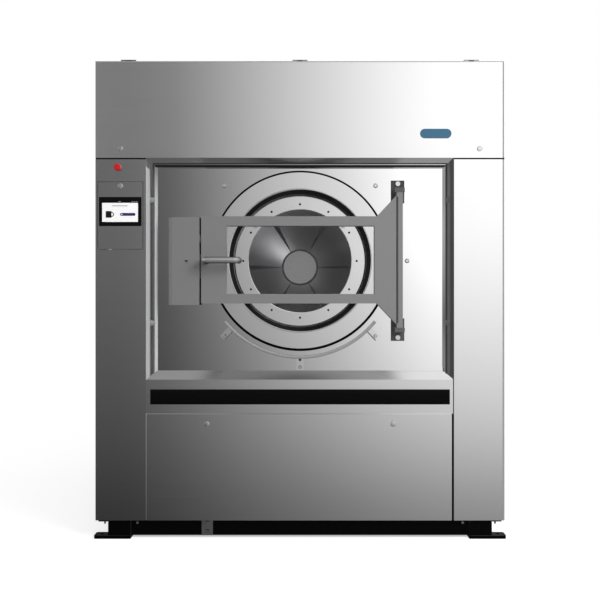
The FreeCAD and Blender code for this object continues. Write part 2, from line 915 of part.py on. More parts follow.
def make_drain_valve():
    neck = rod_z(0, drain_y, drain_radius, drain_valve_bottom, door_axis_z)
    actuator = block((0, drain_radius + valve_box), (drain_y - valve_box / 2, drain_y + valve_box / 2),
                     (drain_valve_bottom + valve_box / 4, drain_valve_bottom + valve_box))
    valve = joined([neck, actuator])
    valve = valve.cut(rod_z(0, drain_y, drain_radius - drain_wall, drain_valve_bottom, door_axis_z))
    return valve.cut(rod_y(0, door_axis_z, tub_radius + seat_gap, tub_front, tub_rear))


# Tub and what it carries
def tray_screw_places():
    places = []
    for side in (-1, 1):
        places.append((side * tray_screw_x, door_axis_z + tray_screw_z))
        places.append((side * tray_screw_side, door_axis_z))
        places.append((side * tray_screw_x, door_axis_z - tray_screw_z))
    return places


def make_front_tray():
    inner = pillar_inner
    low = sill_front_height - tray_skirt
    sill_top = sill_front_height + sill_rise
    panel = block((-inner, inner), (tray_face, tray_rear), (low, top_panel_bottom))
    flange = block((inner - skin, inner), (tray_face - tray_flange, tray_rear),
                   (sill_top + tray_flange_lift, top_panel_bottom))
    top_flange = block((-inner, inner), (tray_face - tray_flange, tray_rear),
                       (top_panel_bottom - skin, top_panel_bottom))
    tray = joined([panel, top_flange] + both_sides(flange))
    return tray.cut(rod_y(0, door_axis_z, tray_hole_radius, tray_face, tray_rear))


def gutter_tab_angles():
    return (-gutter_tab_angle, 0, gutter_tab_angle)


def make_tray_fasteners():
    solids = []
    for x, z in tray_screw_places():
        if z >= door_axis_z:
            solids.append(dome_y(x, z, tray_screw_radius, tray_screw_head, tray_face))
    tab_face = tray_face - gutter_tab_thickness
    for angle in gutter_tab_angles():
        screw = dome_y(0, door_axis_z - gutter_screw_circle, gutter_screw_radius, tray_screw_head, tab_face)
        solids.append(about_door_axis(screw, angle))
    plate_face = tray_face - bracket_plate_thickness
    for z in (door_axis_z + bracket_bolt_z, door_axis_z - bracket_bolt_z):
        solids.append(rod_y(hinge_axis_x, z, bracket_bolt_radius, plate_face - bracket_bolt_head, plate_face))
    solids.append(dome_y(lock_screw_x, door_axis_z, lock_screw_radius, lock_screw_head, frame_face))
    return Part.makeCompound(solids)


def rounded_ring(outer, inner, y0, y1, rounding):
    ring = ring_y(0, door_axis_z, outer, inner, y0, y1)
    rims = [edge for edge in ring.Edges if abs(edge.BoundBox.YMax - y0) < 0.001]
    return ring.makeFillet(rounding, rims)


def make_door_collar():
    face = tray_face - collar_proud
    skin_ring = rounded_ring(collar_radius, collar_lip_radius, face, tub_front, collar_rounding)
    hollow = rounded_ring(collar_radius - collar_wall, collar_lip_radius + collar_wall, face + collar_wall,
                          tub_front, collar_rounding - collar_wall)
    return skin_ring.cut(hollow)


def make_door_gasket():
    outer = collar_lip_radius - seat_gap
    lip = tray_face - collar_proud + collar_wall
    return turned_y([(outer, tub_front), (gasket_throat_radius, tub_front), (gasket_throat_radius, ring_face),
                     (gasket_mouth_radius, lip), (outer, lip)], 0, door_axis_z)


def make_drip_gutter():
    inner = gutter_radius - gutter_wall / 2
    outer = gutter_radius + gutter_wall / 2
    face = tray_face - gutter_depth
    corners = [Vector(0, face, door_axis_z - inner), Vector(0, tray_face, door_axis_z - inner),
               Vector(0, tray_face, door_axis_z - outer), Vector(0, face, door_axis_z - outer)]
    section = Part.Face(Part.makePolygon(corners + corners[:1]))
    section = about_door_axis(section, -gutter_half_angle)
    shapes = [section.revolve(Vector(0, 0, door_axis_z), Vector(0, 1, 0), 2 * gutter_half_angle)]
    half = gutter_tab_width / 2
    tab = block((-half, half), (tray_face - gutter_tab_thickness, tray_face),
                (door_axis_z - gutter_radius - gutter_tab_length, door_axis_z - gutter_radius))
    for angle in gutter_tab_angles():
        shapes.append(about_door_axis(tab, angle))
    gutter = joined(shapes)
    hole_z = door_axis_z - outer - 2 * gutter_hole_radius
    return gutter.cut(rod_y(0, hole_z, gutter_hole_radius, tray_face - gutter_tab_thickness, tray_face))


def make_tub_shell():
    shell = ring_y(0, door_axis_z, tub_radius, tub_radius - tub_wall, tub_front, tub_rear)
    plate = ring_y(0, door_axis_z, tub_radius, tub_mouth_radius, tub_front, tub_front + tub_wall)
    shapes = [shell, plate]
    for x, z in tray_screw_places():
        shapes.append(rod_y(x, z, standoff_radius, tray_rear, tub_front))
    tub = joined(shapes)
    return tub.cut(rod_z(0, drain_y, drain_radius - drain_wall, door_axis_z - tub_radius, door_axis_z))


def make_tub_back():
    plate = rod_y(0, door_axis_z, tub_radius, tub_rear, housing_front)
    return plate.cut(rod_y(0, door_axis_z, seal_radius + fit, tub_rear, housing_front))


def make_saddle_plates():
    solids = []
    low = saddle_bottom + saddle_flange_thickness
    for station in spring_stations:
        web = block((-saddle_half_width, saddle_half_width),
                    (station - saddle_thickness / 2, station + saddle_thickness / 2), (low, saddle_top))
        web = web.cut(rod_y(0, door_axis_z, tub_radius + seat_gap, tub_front, tub_rear))
        foot = block((saddle_half_width - saddle_flange_width, saddle_half_width),
                     (station - saddle_flange_depth / 2, station + saddle_flange_depth / 2),
                     (saddle_bottom, low))
        solids.append(joined([web] + both_sides(foot)))
    return Part.makeCompound(solids)


def make_air_springs():
    # rubber bellows, closed by a flat plate at each end
    pitch = spring_height / spring_folds
    outline = [(0, spring_foot), (spring_waist, spring_foot)]
    for index in range(spring_folds):
        low = spring_foot + pitch * index
        outline.append((spring_radius, low + pitch * 0.3))
        outline.append((spring_radius, low + pitch * 0.7))
        outline.append((spring_waist, low + pitch))
    outline.append((0, saddle_bottom))
    solids = []
    for station in spring_stations:
        for x in (-spring_x, spring_x):
            solids.append(turned_z(outline, x, station))
    return Part.makeCompound(solids)


# Drum
def make_drum_shell():
    shell = ring_y(0, door_axis_z, drum_radius, drum_radius - drum_wall, drum_front, drum_rear + drum_wall)
    plate = ring_y(0, door_axis_z, drum_radius, drum_mouth_radius, drum_front, drum_front + drum_wall)
    lip = ring_y(0, door_axis_z, drum_mouth_radius + drum_wall, drum_mouth_radius, drum_front - drum_lip,
                 drum_front + drum_wall)
    return joined([shell, plate, lip])


def cone_crease():
    # a pressed ridge that widens and rises from the hub to the rim, and runs a little into both
    overrun = cone_wall * cone_slope
    tip = crease_hub_half_width
    sections = ((cone_hub_radius - cone_wall, cone_front - overrun, tip, tip),
                (drum_inside + cone_wall, drum_rear + overrun, crease_half_width, crease_height))
    wires = []
    for radius, y, half, height in sections:
        low = Vector(radius, y + cone_wall / 2, door_axis_z - half)
        ridge = Vector(radius, y - height, door_axis_z)
        high = Vector(radius, y + cone_wall / 2, door_axis_z + half)
        wires.append(Part.makePolygon([low, ridge, high, low]))
    return Part.makeLoft(wires, True, True)


def make_drum_back():
    rear = drum_rear + drum_wall
    bore = rod_y(0, door_axis_z, drum_inside, drum_front, rear)
    cone = turned_y([(cone_hub_radius, cone_front), (drum_inside, drum_rear),
                     (drum_inside, drum_rear + cone_wall), (cone_hub_radius, cone_front + cone_wall)],
                    0, door_axis_z)
    hub = rod_y(0, door_axis_z, cone_hub_radius, cone_front, rear)
    shapes = [cone.common(bore), hub]
    crease = cone_crease().common(bore)
    shapes.extend(about_door_axis(crease, 360 / crease_count * index) for index in range(crease_count))
    # the arms start inside the cone's wall
    arm = block((-spider_arm_width / 2, spider_arm_width / 2), (rear - spider_arm_depth, rear),
                (door_axis_z, door_axis_z + drum_inside + drum_wall))
    middle = cone_front + cone_wall / 2
    rim = drum_radius + drum_wall
    rim_y = middle + cone_slope * (rim - cone_hub_radius)
    room = turned_y([(0, drum_front), (rim, drum_front), (rim, rim_y), (cone_hub_radius, middle), (0, middle)],
                    0, door_axis_z)
    for index in range(spider_arms):
        turned = about_door_axis(arm, 360 / spider_arms * index)
        shapes.append(turned.common(bore).cut(room))
    return joined(shapes).cut(rod_y(0, door_axis_z, shaft_radius + fit, cone_front, rear))


def lifter_wedge(half_width, height, y0, y1):
    foot = door_axis_z - drum_radius
    return plate_y([(-half_width, foot), (half_width, foot), (half_width / 4, foot + height),
                    (-half_width / 4, foot + height)], y0, y1)


def make_lifters():
    # hollow ribs of bent plate, closed at both ends and open towards the drum's wall
    near, far = drum_front + lifter_margin, cone_front
    wedge = lifter_wedge(lifter_half_width, lifter_height, near, far)
    wedge = wedge.cut(lifter_wedge(lifter_half_width - 2 * lifter_wall, lifter_height - lifter_wall,
                                   near + lifter_wall, far - lifter_wall))
    wedge = wedge.common(rod_y(0, door_axis_z, drum_radius - drum_wall - fit, drum_front, drum_rear))
    return Part.makeCompound([about_door_axis(wedge, 360 / lifter_count * index)
                              for index in range(lifter_count)])


def make_hub_cover():
    return rod_y(0, door_axis_z, hub_radius, cone_front - hub_cover_thickness, cone_front)


# Drive
def make_drum_shaft():
    return rod_y(0, door_axis_z, shaft_radius, cone_front, pulley_rear + shaft_tail)


def make_bearing_housing():
    # each rib starts inside the wall and stops short of the flange's rim
    bore = bearing_radius + fit
    flange_rear = housing_front + housing_flange_thickness
    shapes = [rod_y(0, door_axis_z, housing_radius, housing_front, housing_rear),
              rod_y(0, door_axis_z, housing_flange_radius, housing_front, flange_rear)]
    half = housing_rib_width / 2
    root = door_axis_z + (bearing_radius + housing_radius) / 2
    rib = plate_x([(housing_front, root), (housing_front, door_axis_z + housing_flange_radius - half),
                   (housing_rear - bearing_width, root)], -half, half)
    for index in range(housing_rib_count):
        shapes.append(about_door_axis(rib, 360 / housing_rib_count * index))
    return joined(shapes).cut(rod_y(0, door_axis_z, bore, housing_front, housing_rear))


def make_bearings():
    starts = (housing_front + bearing_margin, housing_rear - bearing_margin - bearing_width)
    return Part.makeCompound([ring_y(0, door_axis_z, bearing_radius, shaft_radius + fit, y, y + bearing_width)
                              for y in starts])


def make_shaft_seal():
    return ring_y(0, door_axis_z, seal_radius, shaft_radius + fit, tub_rear, housing_front)


def make_drum_pulley():
    middle = (pulley_front + pulley_rear) / 2
    rim = ring_y(0, door_axis_z, pulley_radius, pulley_radius - pulley_rim, pulley_front, pulley_rear)
    web = ring_y(0, door_axis_z, pulley_radius - pulley_rim / 2, shaft_radius + fit, middle - pulley_web / 2,
                 middle + pulley_web / 2)
    hub = ring_y(0, door_axis_z, pulley_hub_radius, shaft_radius + fit, pulley_front, pulley_rear)
    return joined([rim, web, hub])


def make_motor_pulley():
    wheel = rod_y(motor_x, motor_z, motor_pulley_radius, pulley_front, pulley_rear)
    shaft = rod_y(motor_x, motor_z, motor_shaft_radius, motor_rear - motor_shaft_grip, pulley_rear)
    return joined([wheel, shaft])


def make_motor():
    body = rod_y(motor_x, motor_z, motor_radius, motor_rear - motor_length, motor_rear)
    distance = math.hypot(motor_x, motor_rise)
    along = (motor_x / distance, motor_rise / distance)
    across = (-along[1], along[0])
    corners = []
    for reach, offset in ((tub_radius - motor_radius / 2, -1), (distance, -1), (distance, 1),
                          (tub_radius - motor_radius / 2, 1)):
        corners.append((along[0] * reach + across[0] * offset * motor_plate_half_width,
                        door_axis_z + along[1] * reach + across[1] * offset * motor_plate_half_width))
    shapes = [body]
    first = tub_rear - motor_plate_margin - motor_plate_thickness
    for y in (first, first - motor_plate_spacing):
        shapes.append(plate_y(corners, y, y + motor_plate_thickness))
    motor = joined(shapes).cut(rod_y(0, door_axis_z, tub_radius + seat_gap, tub_front, tub_rear))
    bore = rod_y(motor_x, motor_z, motor_shaft_radius + fit, motor_rear - motor_shaft_grip, motor_rear)
    return motor.cut(bore)


def belt_loop(grow, y0, y1):
    # outline round both pulleys: two discs and the strip between their outer tangents
    large, small = pulley_radius + grow, motor_pulley_radius + grow
    distance = math.hypot(motor_x, motor_rise)
    lean = math.asin((large - small) / distance)
    heading = math.atan2(motor_rise, motor_x)
    corners = []
    for turn in (math.pi / 2 - lean, lean - math.pi / 2):
        angle = heading + turn
        pair = [(large * math.cos(angle), door_axis_z + large * math.sin(angle)),
                (motor_x + small * math.cos(angle), motor_z + small * math.sin(angle))]
        corners.extend(pair if not corners else reversed(pair))
    discs = [rod_y(0, door_axis_z, large, y0, y1), rod_y(motor_x, motor_z, small, y0, y1)]
    return joined(discs + [plate_y(corners, y0, y1)])


def make_drive_belts():
    pitch = pulley_width / belt_count
    belts = []
    for index in range(belt_count):
        middle = pulley_front + pitch * (index + 0.5)
        y0, y1 = middle - belt_width / 2, middle + belt_width / 2
        belts.append(belt_loop(seat_gap + belt_thickness, y0, y1).cut(belt_loop(seat_gap, y0, y1)))
    return Part.makeCompound(belts)


# Door
def make_hinge_brackets():
    bar_end = hinge_bar_half_length + seat_gap
    half = bracket_plate_width / 2
    plate = block((hinge_axis_x - half, hinge_axis_x + half),
                  (tray_face - bracket_plate_thickness, tray_face),
                  (door_axis_z + bracket_plate_bottom, door_axis_z + bracket_plate_top))
    knuckle = block((hinge_axis_x - knuckle_width / 2, hinge_axis_x + knuckle_width / 2),
                    (hinge_y - knuckle_width / 2, tray_face - bracket_plate_thickness),
                    (door_axis_z + bar_end, door_axis_z + bar_end + knuckle_height))
    upper = joined([plate, knuckle])
    upper = upper.cut(rod_z(hinge_axis_x, hinge_y, door_pin_radius + fit, door_axis_z + bar_end,
                            door_axis_z + bar_end + knuckle_height))
    lower = upper.mirror(Vector(0, 0, door_axis_z), Vector(0, 0, 1))
    return Part.makeCompound([upper, lower])


def make_hinge_bar():
    half = hinge_bar_width / 2
    bar = block((hinge_axis_x - half, hinge_axis_x + half),
                (hinge_y - hinge_bar_depth / 2, frame_back + hinge_strip_thickness),
                (door_axis_z - hinge_bar_half_length, door_axis_z + hinge_bar_half_length))
    strip = block((hinge_axis_x - hinge_strip_reach, hinge_axis_x),
                  (frame_back, frame_back + hinge_strip_thickness),
                  (door_axis_z - hinge_strip_half_length, door_axis_z + hinge_strip_half_length))
    reach = hinge_bar_half_length + seat_gap + knuckle_height
    pin = rod_z(hinge_axis_x, hinge_y, door_pin_radius, door_axis_z - reach, door_axis_z + reach)
    return joined([bar, strip, pin])


def make_door_frame():
    up, flare = frame_half_height, frame_flare_half_height
    outline = [(frame_left, -up), (frame_flare_x, -up), (frame_right, -flare), (frame_right, flare),
               (frame_flare_x, up), (frame_left, up)]
    frame = plate_y([(x, door_axis_z + z) for x, z in outline], frame_face, frame_back)
    frame = frame.cut(block((window_left, window_right), (frame_face, frame_back),
                            (door_axis_z - window_half_height, door_axis_z + window_half_height)))
    frame = frame.cut(rod_y(handle_x, handle_z, spindle_radius + fit, frame_face, frame_back))
    return frame.cut(rod_x(bolt_y, bolt_z, bolt_radius + panel_gap, frame_left, frame_left + bolt_hole_depth))


def make_door_ring():
    shapes = [rounded_ring(ring_radius, ring_inner_radius, ring_face, ring_face + ring_thickness,
                           ring_rounding)]
    for x in (-ring_post_x, ring_post_x):
        for z in (door_axis_z - ring_post_z, door_axis_z + ring_post_z):
            shapes.append(rod_y(x, z, ring_post_radius, frame_back, ring_face))
    return joined(shapes)


def make_door_glass():
    rim = ring_face + ring_thickness
    end = rim + glass_bowl_depth
    wall = glass_thickness
    root = ring_inner_radius - wall
    return turned_y([(0, end - wall), (glass_bowl_radius - wall, end - wall), (root - wall, rim),
                     (glass_rim_radius, rim), (glass_rim_radius, rim + wall), (root, rim + wall),
                     (glass_bowl_radius, end), (0, end)], 0, door_axis_z)


def make_door_screws():
    screw = rod_y(0, door_axis_z + ring_screw_circle, ring_screw_radius,
                  ring_face - ring_screw_head, ring_face)
    return Part.makeCompound([about_door_axis(screw, 360 / ring_screw_count * index)
                              for index in range(ring_screw_count)])


def make_door_handle():
    y = back(handle_depth)
    end = handle_x + handle_length
    shapes = [rod_y(handle_x, handle_z, handle_radius, y, frame_face),
              rod_y(handle_x, handle_z, spindle_radius, frame_face, tongue_y + tongue_thickness),
              rod_x(y, handle_z, handle_radius, handle_x, end),
              rod_y(end, handle_z, handle_radius, y, y + handle_return),
              Part.makeSphere(handle_radius, Vector(handle_x, y, handle_z)),
              Part.makeSphere(handle_radius, Vector(end, y, handle_z))]
    return joined(shapes)


def make_latch_tongue():
    half = tongue_width / 2
    span = (tongue_y, tongue_y + tongue_thickness)
    bar = block((handle_x - half, handle_x + half), span, (handle_z - tongue_length, handle_z))
    eye = rod_y(handle_x, handle_z, half, *span)
    return joined([bar, eye]).cut(rod_y(handle_x, handle_z, spindle_radius + fit, *span))


def make_lock_housing():
    low, high = door_axis_z - lock_bottom, door_axis_z + lock_top
    outline = [(lock_left, tray_face), (lock_left, frame_face + lock_bevel),
               (lock_left + lock_bevel, frame_face), (lock_right, frame_face), (lock_right, tray_face)]
    corners = [Vector(x, y, low) for x, y in outline]
    case = Part.Face(Part.makePolygon(corners + corners[:1])).extrude(Vector(0, 0, high - low))
    case = case.cut(block((lock_left + lock_wall, lock_right - lock_wall),
                          (frame_face + lock_bevel, tray_face), (low + lock_wall, high - lock_wall)))
    guide = block((lock_right - bolt_length, lock_right - lock_wall),
                  (frame_face + lock_bevel, tray_face), (bolt_z - 2 * bolt_radius, bolt_z + 2 * bolt_radius))
    case = joined([case, guide])
    slot_half = tongue_width / 2 + panel_gap
    slot = block((lock_right - lock_wall, lock_right),
                 (tongue_y - panel_gap, tongue_y + tongue_thickness + panel_gap),
                 (handle_z - tongue_length, handle_z + slot_half))
    case = case.cut(slot)
    return case.cut(rod_x(bolt_y, bolt_z, bolt_radius + fit, lock_left + lock_wall, lock_right))


def make_lock_bolt():
    end = lock_right - seat_gap
    return rod_x(bolt_y, bolt_z, bolt_radius, end - bolt_length - bolt_travel, end)


pieces = {
    "base_frame": make_base_frame(),
    "foot_plates": make_foot_plates(),
    "base_bracket": make_base_bracket(),
    "cabinet_fasteners": make_cabinet_fasteners(),
    "cabinet_frame": make_cabinet_frame(),
    "left_pillar": make_left_pillar(),
    "right_pillar": make_pillar(),
    "lintel": make_lintel(),
    "side_panels": make_side_panels(),
    "rear_panel": make_rear_panel(),
    "roof_panel": make_roof_panel(),
    "apron": make_apron(),
    "bumper": make_bumper(),
    "control_box": make_control_box(),
    "rear_fittings": make_rear_fittings(),
    "drain_outlet": make_drain_outlet(),
    "front_tray": make_front_tray(),
    "tray_fasteners": make_tray_fasteners(),
    "door_collar": make_door_collar(),
    "door_gasket": make_door_gasket(),
    "drip_gutter": make_drip_gutter(),
    "tub_shell": make_tub_shell(),
    "tub_back": make_tub_back(),
    "saddle_plates": make_saddle_plates(),
    "bearing_housing": make_bearing_housing(),
    "bearings": make_bearings(),
    "shaft_seal": make_shaft_seal(),
    "motor": make_motor(),
    "drive_belts": make_drive_belts(),
    "hinge_brackets": make_hinge_brackets(),
    "lock_housing": make_lock_housing(),
    "drain_valve": make_drain_valve(),
    "air_springs": make_air_springs(),
    "drain_hose": make_drain_hose(),
    "drum_shell": make_drum_shell(),
    "drum_back": make_drum_back(),
    "lifters": make_lifters(),
    "hub_cover": make_hub_cover(),
    "drum_shaft": make_drum_shaft(),
    "drum_pulley": make_drum_pulley(),
    "motor_pulley": make_motor_pulley(),
    "door_frame": make_door_frame(),
    "door_ring": make_door_ring(),
    "door_glass": make_door_glass(),
    "door_screws": make_door_screws(),
    "hinge_bar": make_hinge_bar(),
    "door_handle": make_door_handle(),
    "latch_tongue": make_latch_tongue(),
    "lock_bolt": make_lock_bolt(),
    "stop_button": make_stop_button(),
    "control_door": make_control_door(),
    "display_panel": make_display_panel(),
    "control_lock": quarter_turn_lock(control_x, control_lock_z, control_cam_depth, control_cam_length, 1),
    "top_lock_left": quarter_turn_lock(-top_lock_x, top_lock_z, cam_depth, cam_length, 1),
    "top_lock_right": quarter_turn_lock(top_lock_x, top_lock_z, cam_depth, cam_length, -1),
    "lower_lock_left": quarter_turn_lock(-lower_lock_x, lower_lock_z, cam_depth, cam_length, 1),
    "lower_lock_right": quarter_turn_lock(lower_lock_x, lower_lock_z, cam_depth, cam_length, -1),
    "top_panel": make_top_panel(),
    "badge_plate": make_badge_plate(),
    "lower_panel": make_lower_panel(),
}

os.makedirs("parts", exist_ok=True)
for name, shape in pieces.items():
    shape.exportStep("parts/" + name + ".step")
    print(name, len(shape.Solids), round(shape.Volume / 1000), shape.isValid())
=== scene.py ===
import json
import math

import bmesh
import bpy
from mathutils import Matrix, Vector


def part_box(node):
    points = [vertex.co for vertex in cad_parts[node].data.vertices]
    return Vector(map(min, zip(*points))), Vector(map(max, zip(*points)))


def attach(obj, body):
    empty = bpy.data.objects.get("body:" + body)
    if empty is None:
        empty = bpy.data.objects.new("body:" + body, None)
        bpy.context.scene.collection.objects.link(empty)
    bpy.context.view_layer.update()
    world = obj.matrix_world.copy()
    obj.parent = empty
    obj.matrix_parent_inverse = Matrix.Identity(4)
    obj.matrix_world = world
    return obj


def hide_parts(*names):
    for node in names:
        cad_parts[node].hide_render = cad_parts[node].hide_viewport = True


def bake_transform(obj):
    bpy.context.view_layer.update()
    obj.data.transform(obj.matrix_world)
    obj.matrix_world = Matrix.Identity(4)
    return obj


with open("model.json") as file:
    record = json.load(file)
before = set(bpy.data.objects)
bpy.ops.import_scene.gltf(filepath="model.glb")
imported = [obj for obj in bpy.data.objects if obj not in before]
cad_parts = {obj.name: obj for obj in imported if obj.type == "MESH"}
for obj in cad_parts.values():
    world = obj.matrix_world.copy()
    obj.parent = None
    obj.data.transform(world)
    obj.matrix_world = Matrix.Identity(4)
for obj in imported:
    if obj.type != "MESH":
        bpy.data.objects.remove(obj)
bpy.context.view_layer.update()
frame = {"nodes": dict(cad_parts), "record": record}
parts = frame["nodes"]
nodeSlots = {row["node"]: row["material_slot"] for row in frame["record"]["subparts"]}
scene = bpy.context.scene
scene.view_settings.view_transform = "Standard"
print("frame loaded:", len(parts), "pieces")

# places that several pieces share, in metres
ringLow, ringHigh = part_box("door_ring")
gasketLow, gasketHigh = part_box("door_gasket")
doorX = (ringLow.x + ringHigh.x) / 2
doorZ = (ringLow.z + ringHigh.z) / 2
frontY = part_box("top_panel")[0].y
doorHub = (doorX, 0, doorZ)
touching = 1e-6  # points closer than this are one point


# mesh helpers
def newPiece(name, bm, material, body, stands=(), smoothAngle=35, mirrors=False):
    bmesh.ops.recalc_face_normals(bm, faces=bm.faces[:])
    mesh = bpy.data.meshes.new(name)
    bm.to_mesh(mesh)
    bm.free()
    mesh.materials.append(material)
    mesh.shade_smooth()
    mesh.set_sharp_from_angle(angle=math.radians(smoothAngle))
    piece = bpy.data.objects.new(name, mesh)
    piece.visible_glossy = mirrors
    scene.collection.objects.link(piece)
    if body:
        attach(piece, body)
    if stands:
        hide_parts(*stands)
    return piece


def addBox(bm, corner, opposite):
    low, high = (Vector([pick(pair) for pair in zip(corner, opposite)]) for pick in (min, max))
    place = Matrix.Translation((low + high) / 2) @ Matrix.Diagonal((*(high - low), 1))
    return bmesh.ops.create_cube(bm, size=1, matrix=place)["verts"]


def boxPiece(name, corners, material, body):
    bm = bmesh.new()
    for corner, opposite in corners:
        addBox(bm, corner, opposite)
    return newPiece(name, bm, material, body)


def edgesOf(verts):
    inside = set(verts)
    return list({edge for vert in verts for edge in vert.link_edges if edge.other_vert(vert) in inside})


def roundEdges(bm, edges, width, segments=3):
    return bmesh.ops.bevel(bm, geom=edges, offset=width, offset_type="OFFSET", segments=segments,
                           profile=0.5, affect="EDGES", material=-1)


def turnOutline(bm, outline, centre, steps, axis=(0, 1, 0), closed=True):
    # outline points are (radius, place along the axis), turned once round
    if axis == (0, 1, 0):
        points = [(centre[0] + radius, along, centre[2]) for radius, along in outline]
    else:
        points = [(centre[0] + radius, centre[1], along) for radius, along in outline]
    verts = [bm.verts.new(point) for point in points]
    pairs = list(zip(verts, verts[1:] + verts[:1])) if closed else list(zip(verts, verts[1:]))
    edges = [bm.edges.new(pair) for pair in pairs]
    bmesh.ops.spin(bm, geom=verts + edges, cent=centre, axis=axis, dvec=(0, 0, 0), angle=2 * math.pi,
                   steps=steps, use_merge=True, use_duplicate=False)
    bmesh.ops.remove_doubles(bm, verts=bm.verts[:], dist=touching)


def turnedPiece(name, outline, centre, steps, material, body, stands=(), closed=True,
                mirrors=False):
    bm = bmesh.new()
    turnOutline(bm, outline, centre, steps, closed=closed)
    return newPiece(name, bm, material, body, stands, mirrors=mirrors)


def ringAhead(geom):
    verts = [item for item in geom if isinstance(item, bmesh.types.BMVert)]
    return verts, edgesOf(verts)


def runStraight(bm, edges, step):
    grown = bmesh.ops.extrude_edge_only(bm, edges=edges)["geom"]
    verts, ahead = ringAhead(grown)
    bmesh.ops.translate(bm, verts=verts, vec=step)
    return ahead


def runBend(bm, edges, centre, axis, angle, steps):
    verts = list({vert for edge in edges for vert in edge.verts})
    turned = bmesh.ops.spin(bm, geom=verts + edges, cent=centre, axis=axis, dvec=(0, 0, 0), angle=angle,
                            steps=steps, use_merge=False, use_duplicate=False)
    return ringAhead(turned["geom_last"])[1]


def closeRound(bm, edges, width, segments=4):
    cap = bmesh.ops.contextual_create(bm, geom=edges)["faces"]
    rim = list({edge for face in cap for edge in face.edges})
    roundEdges(bm, rim, width, segments)


# finishes
noiseDetail = {"steel": 3, "lathe": 2, "paint": 1, "plastic": 2, "rubber": 3}
roughVary = {"plastic": 0.05, "rubber": 0.08}


def startFinish(name, color, rough, metal=0.0):
    material = bpy.data.materials.new(name)
    material.use_nodes = True
    tree = material.node_tree
    shader = tree.nodes["Principled BSDF"]
    shader.inputs["Base Color"].default_value = (*color, 1)
    shader.inputs["Roughness"].default_value = rough
    shader.inputs["Metallic"].default_value = metal
    return material, tree, shader


def objectNoise(tree, scale, detail):
    coords = tree.nodes.new("ShaderNodeTexCoord")
    mapping = tree.nodes.new("ShaderNodeMapping")
    mapping.inputs["Scale"].default_value = scale
    noise = tree.nodes.new("ShaderNodeTexNoise")
    noise.inputs["Scale"].default_value = 1
    noise.inputs["Detail"].default_value = detail
    tree.links.new(coords.outputs["Object"], mapping.inputs["Vector"])
    tree.links.new(mapping.outputs["Vector"], noise.inputs["Vector"])
    return noise.outputs["Fac"]


def splitCoords(tree, source):
    coords = tree.nodes.new("ShaderNodeTexCoord")
    split = tree.nodes.new("ShaderNodeSeparateXYZ")
    tree.links.new(coords.outputs[source], split.inputs["Vector"])
    return split.outputs


def spread(tree, value, low, high, fromLow=0.3, fromHigh=0.7):
    node = tree.nodes.new("ShaderNodeMapRange")
    node.inputs["From Min"].default_value = fromLow
    node.inputs["From Max"].default_value = fromHigh
    node.inputs["To Min"].default_value = low
    node.inputs["To Max"].default_value = high
    tree.links.new(value, node.inputs["Value"])
    return node.outputs["Result"]


def calculate(tree, operation, first, second=None):
    node = tree.nodes.new("ShaderNodeMath")
    node.operation = operation
    for socket, value in zip(node.inputs, (first, second)):
        if value is None:
            continue
        if isinstance(value, (int, float)):
            socket.default_value = value
        else:
            tree.links.new(value, socket)
    return node.outputs["Value"]


def addBump(tree, shader, height, distance):
    bump = tree.nodes.new("ShaderNodeBump")
    bump.inputs["Strength"].default_value = 1
    bump.inputs["Distance"].default_value = distance
    tree.links.new(height, bump.inputs["Height"])
    tree.links.new(bump.outputs["Normal"], shader.inputs["Normal"])


def varyRough(tree, shader, noise, rough, vary):
    result = spread(tree, noise, rough - vary, rough + vary)
    tree.links.new(result, shader.inputs["Roughness"])
    return result


def brushedSteel(name, look):
    material, tree, shader = startFinish(name, look["color"], look["rough"], 1.0)
    grain = objectNoise(tree, look["grain"], noiseDetail["steel"])
    rough = varyRough(tree, shader, grain, look["rough"], look["streak"])
    if "wallRough" in look:  # faces turned from the front are seen across the brushing and scatter more
        facing = calculate(tree, "ABSOLUTE", splitCoords(tree, "Normal")["Y"])
        more = calculate(tree, "MULTIPLY", calculate(tree, "SUBTRACT", 1, facing), look["wallRough"])
        tree.links.new(calculate(tree, "ADD", rough, more), shader.inputs["Roughness"])
    if "leftPaintedTone" in look:  # painted reflection and shade: the sheet's base tone changes from its left edge to its right
        tone = spread(tree, splitCoords(tree, "Object")["X"], look["leftPaintedTone"], look["rightPaintedTone"],
                      look["toneFrom"], look["toneTo"])
        tree.links.new(tone, shader.inputs["Base Color"])
    if "edgeReflectTone" in look:  # painted reflection: the upper and lower sides of a level bar are darker in base colour, for the darker things they mirror
        slant = calculate(tree, "ABSOLUTE", splitCoords(tree, "Normal")["Z"])
        tone = spread(tree, slant, look["color"][0], look["edgeReflectTone"], look["edgeFrom"], look["edgeTo"])
        tree.links.new(tone, shader.inputs["Base Color"])
    addBump(tree, shader, grain, look["depth"])
    return material


def turnedSteel(name, look):
    # lathe marks run round the door's axis
    material, tree, shader = startFinish(name, look["color"], look["rough"], 1.0)
    place = splitCoords(tree, "Object")
    across = calculate(tree, "SUBTRACT", place["X"], doorX)
    upward = calculate(tree, "SUBTRACT", place["Z"], doorZ)
    squares = calculate(tree, "ADD", calculate(tree, "POWER", across, 2), calculate(tree, "POWER", upward, 2))
    noise = tree.nodes.new("ShaderNodeTexNoise")
    noise.noise_dimensions = "1D"
    noise.inputs["Scale"].default_value = look["marks"]
    noise.inputs["Detail"].default_value = noiseDetail["lathe"]
    tree.links.new(calculate(tree, "SQRT", squares), noise.inputs["W"])
    varyRough(tree, shader, noise.outputs["Fac"], look["rough"], look["streak"])
    addBump(tree, shader, noise.outputs["Fac"], look["depth"])
    return material


def sprayedPaint(name, look):
    material, tree, shader = startFinish(name, look["color"], look["rough"])
    shader.inputs["Specular IOR Level"].default_value = look["shine"]
    peel = objectNoise(tree, (look["peel"],) * 3, noiseDetail["paint"])
    addBump(tree, shader, peel, look["depth"])
    return material


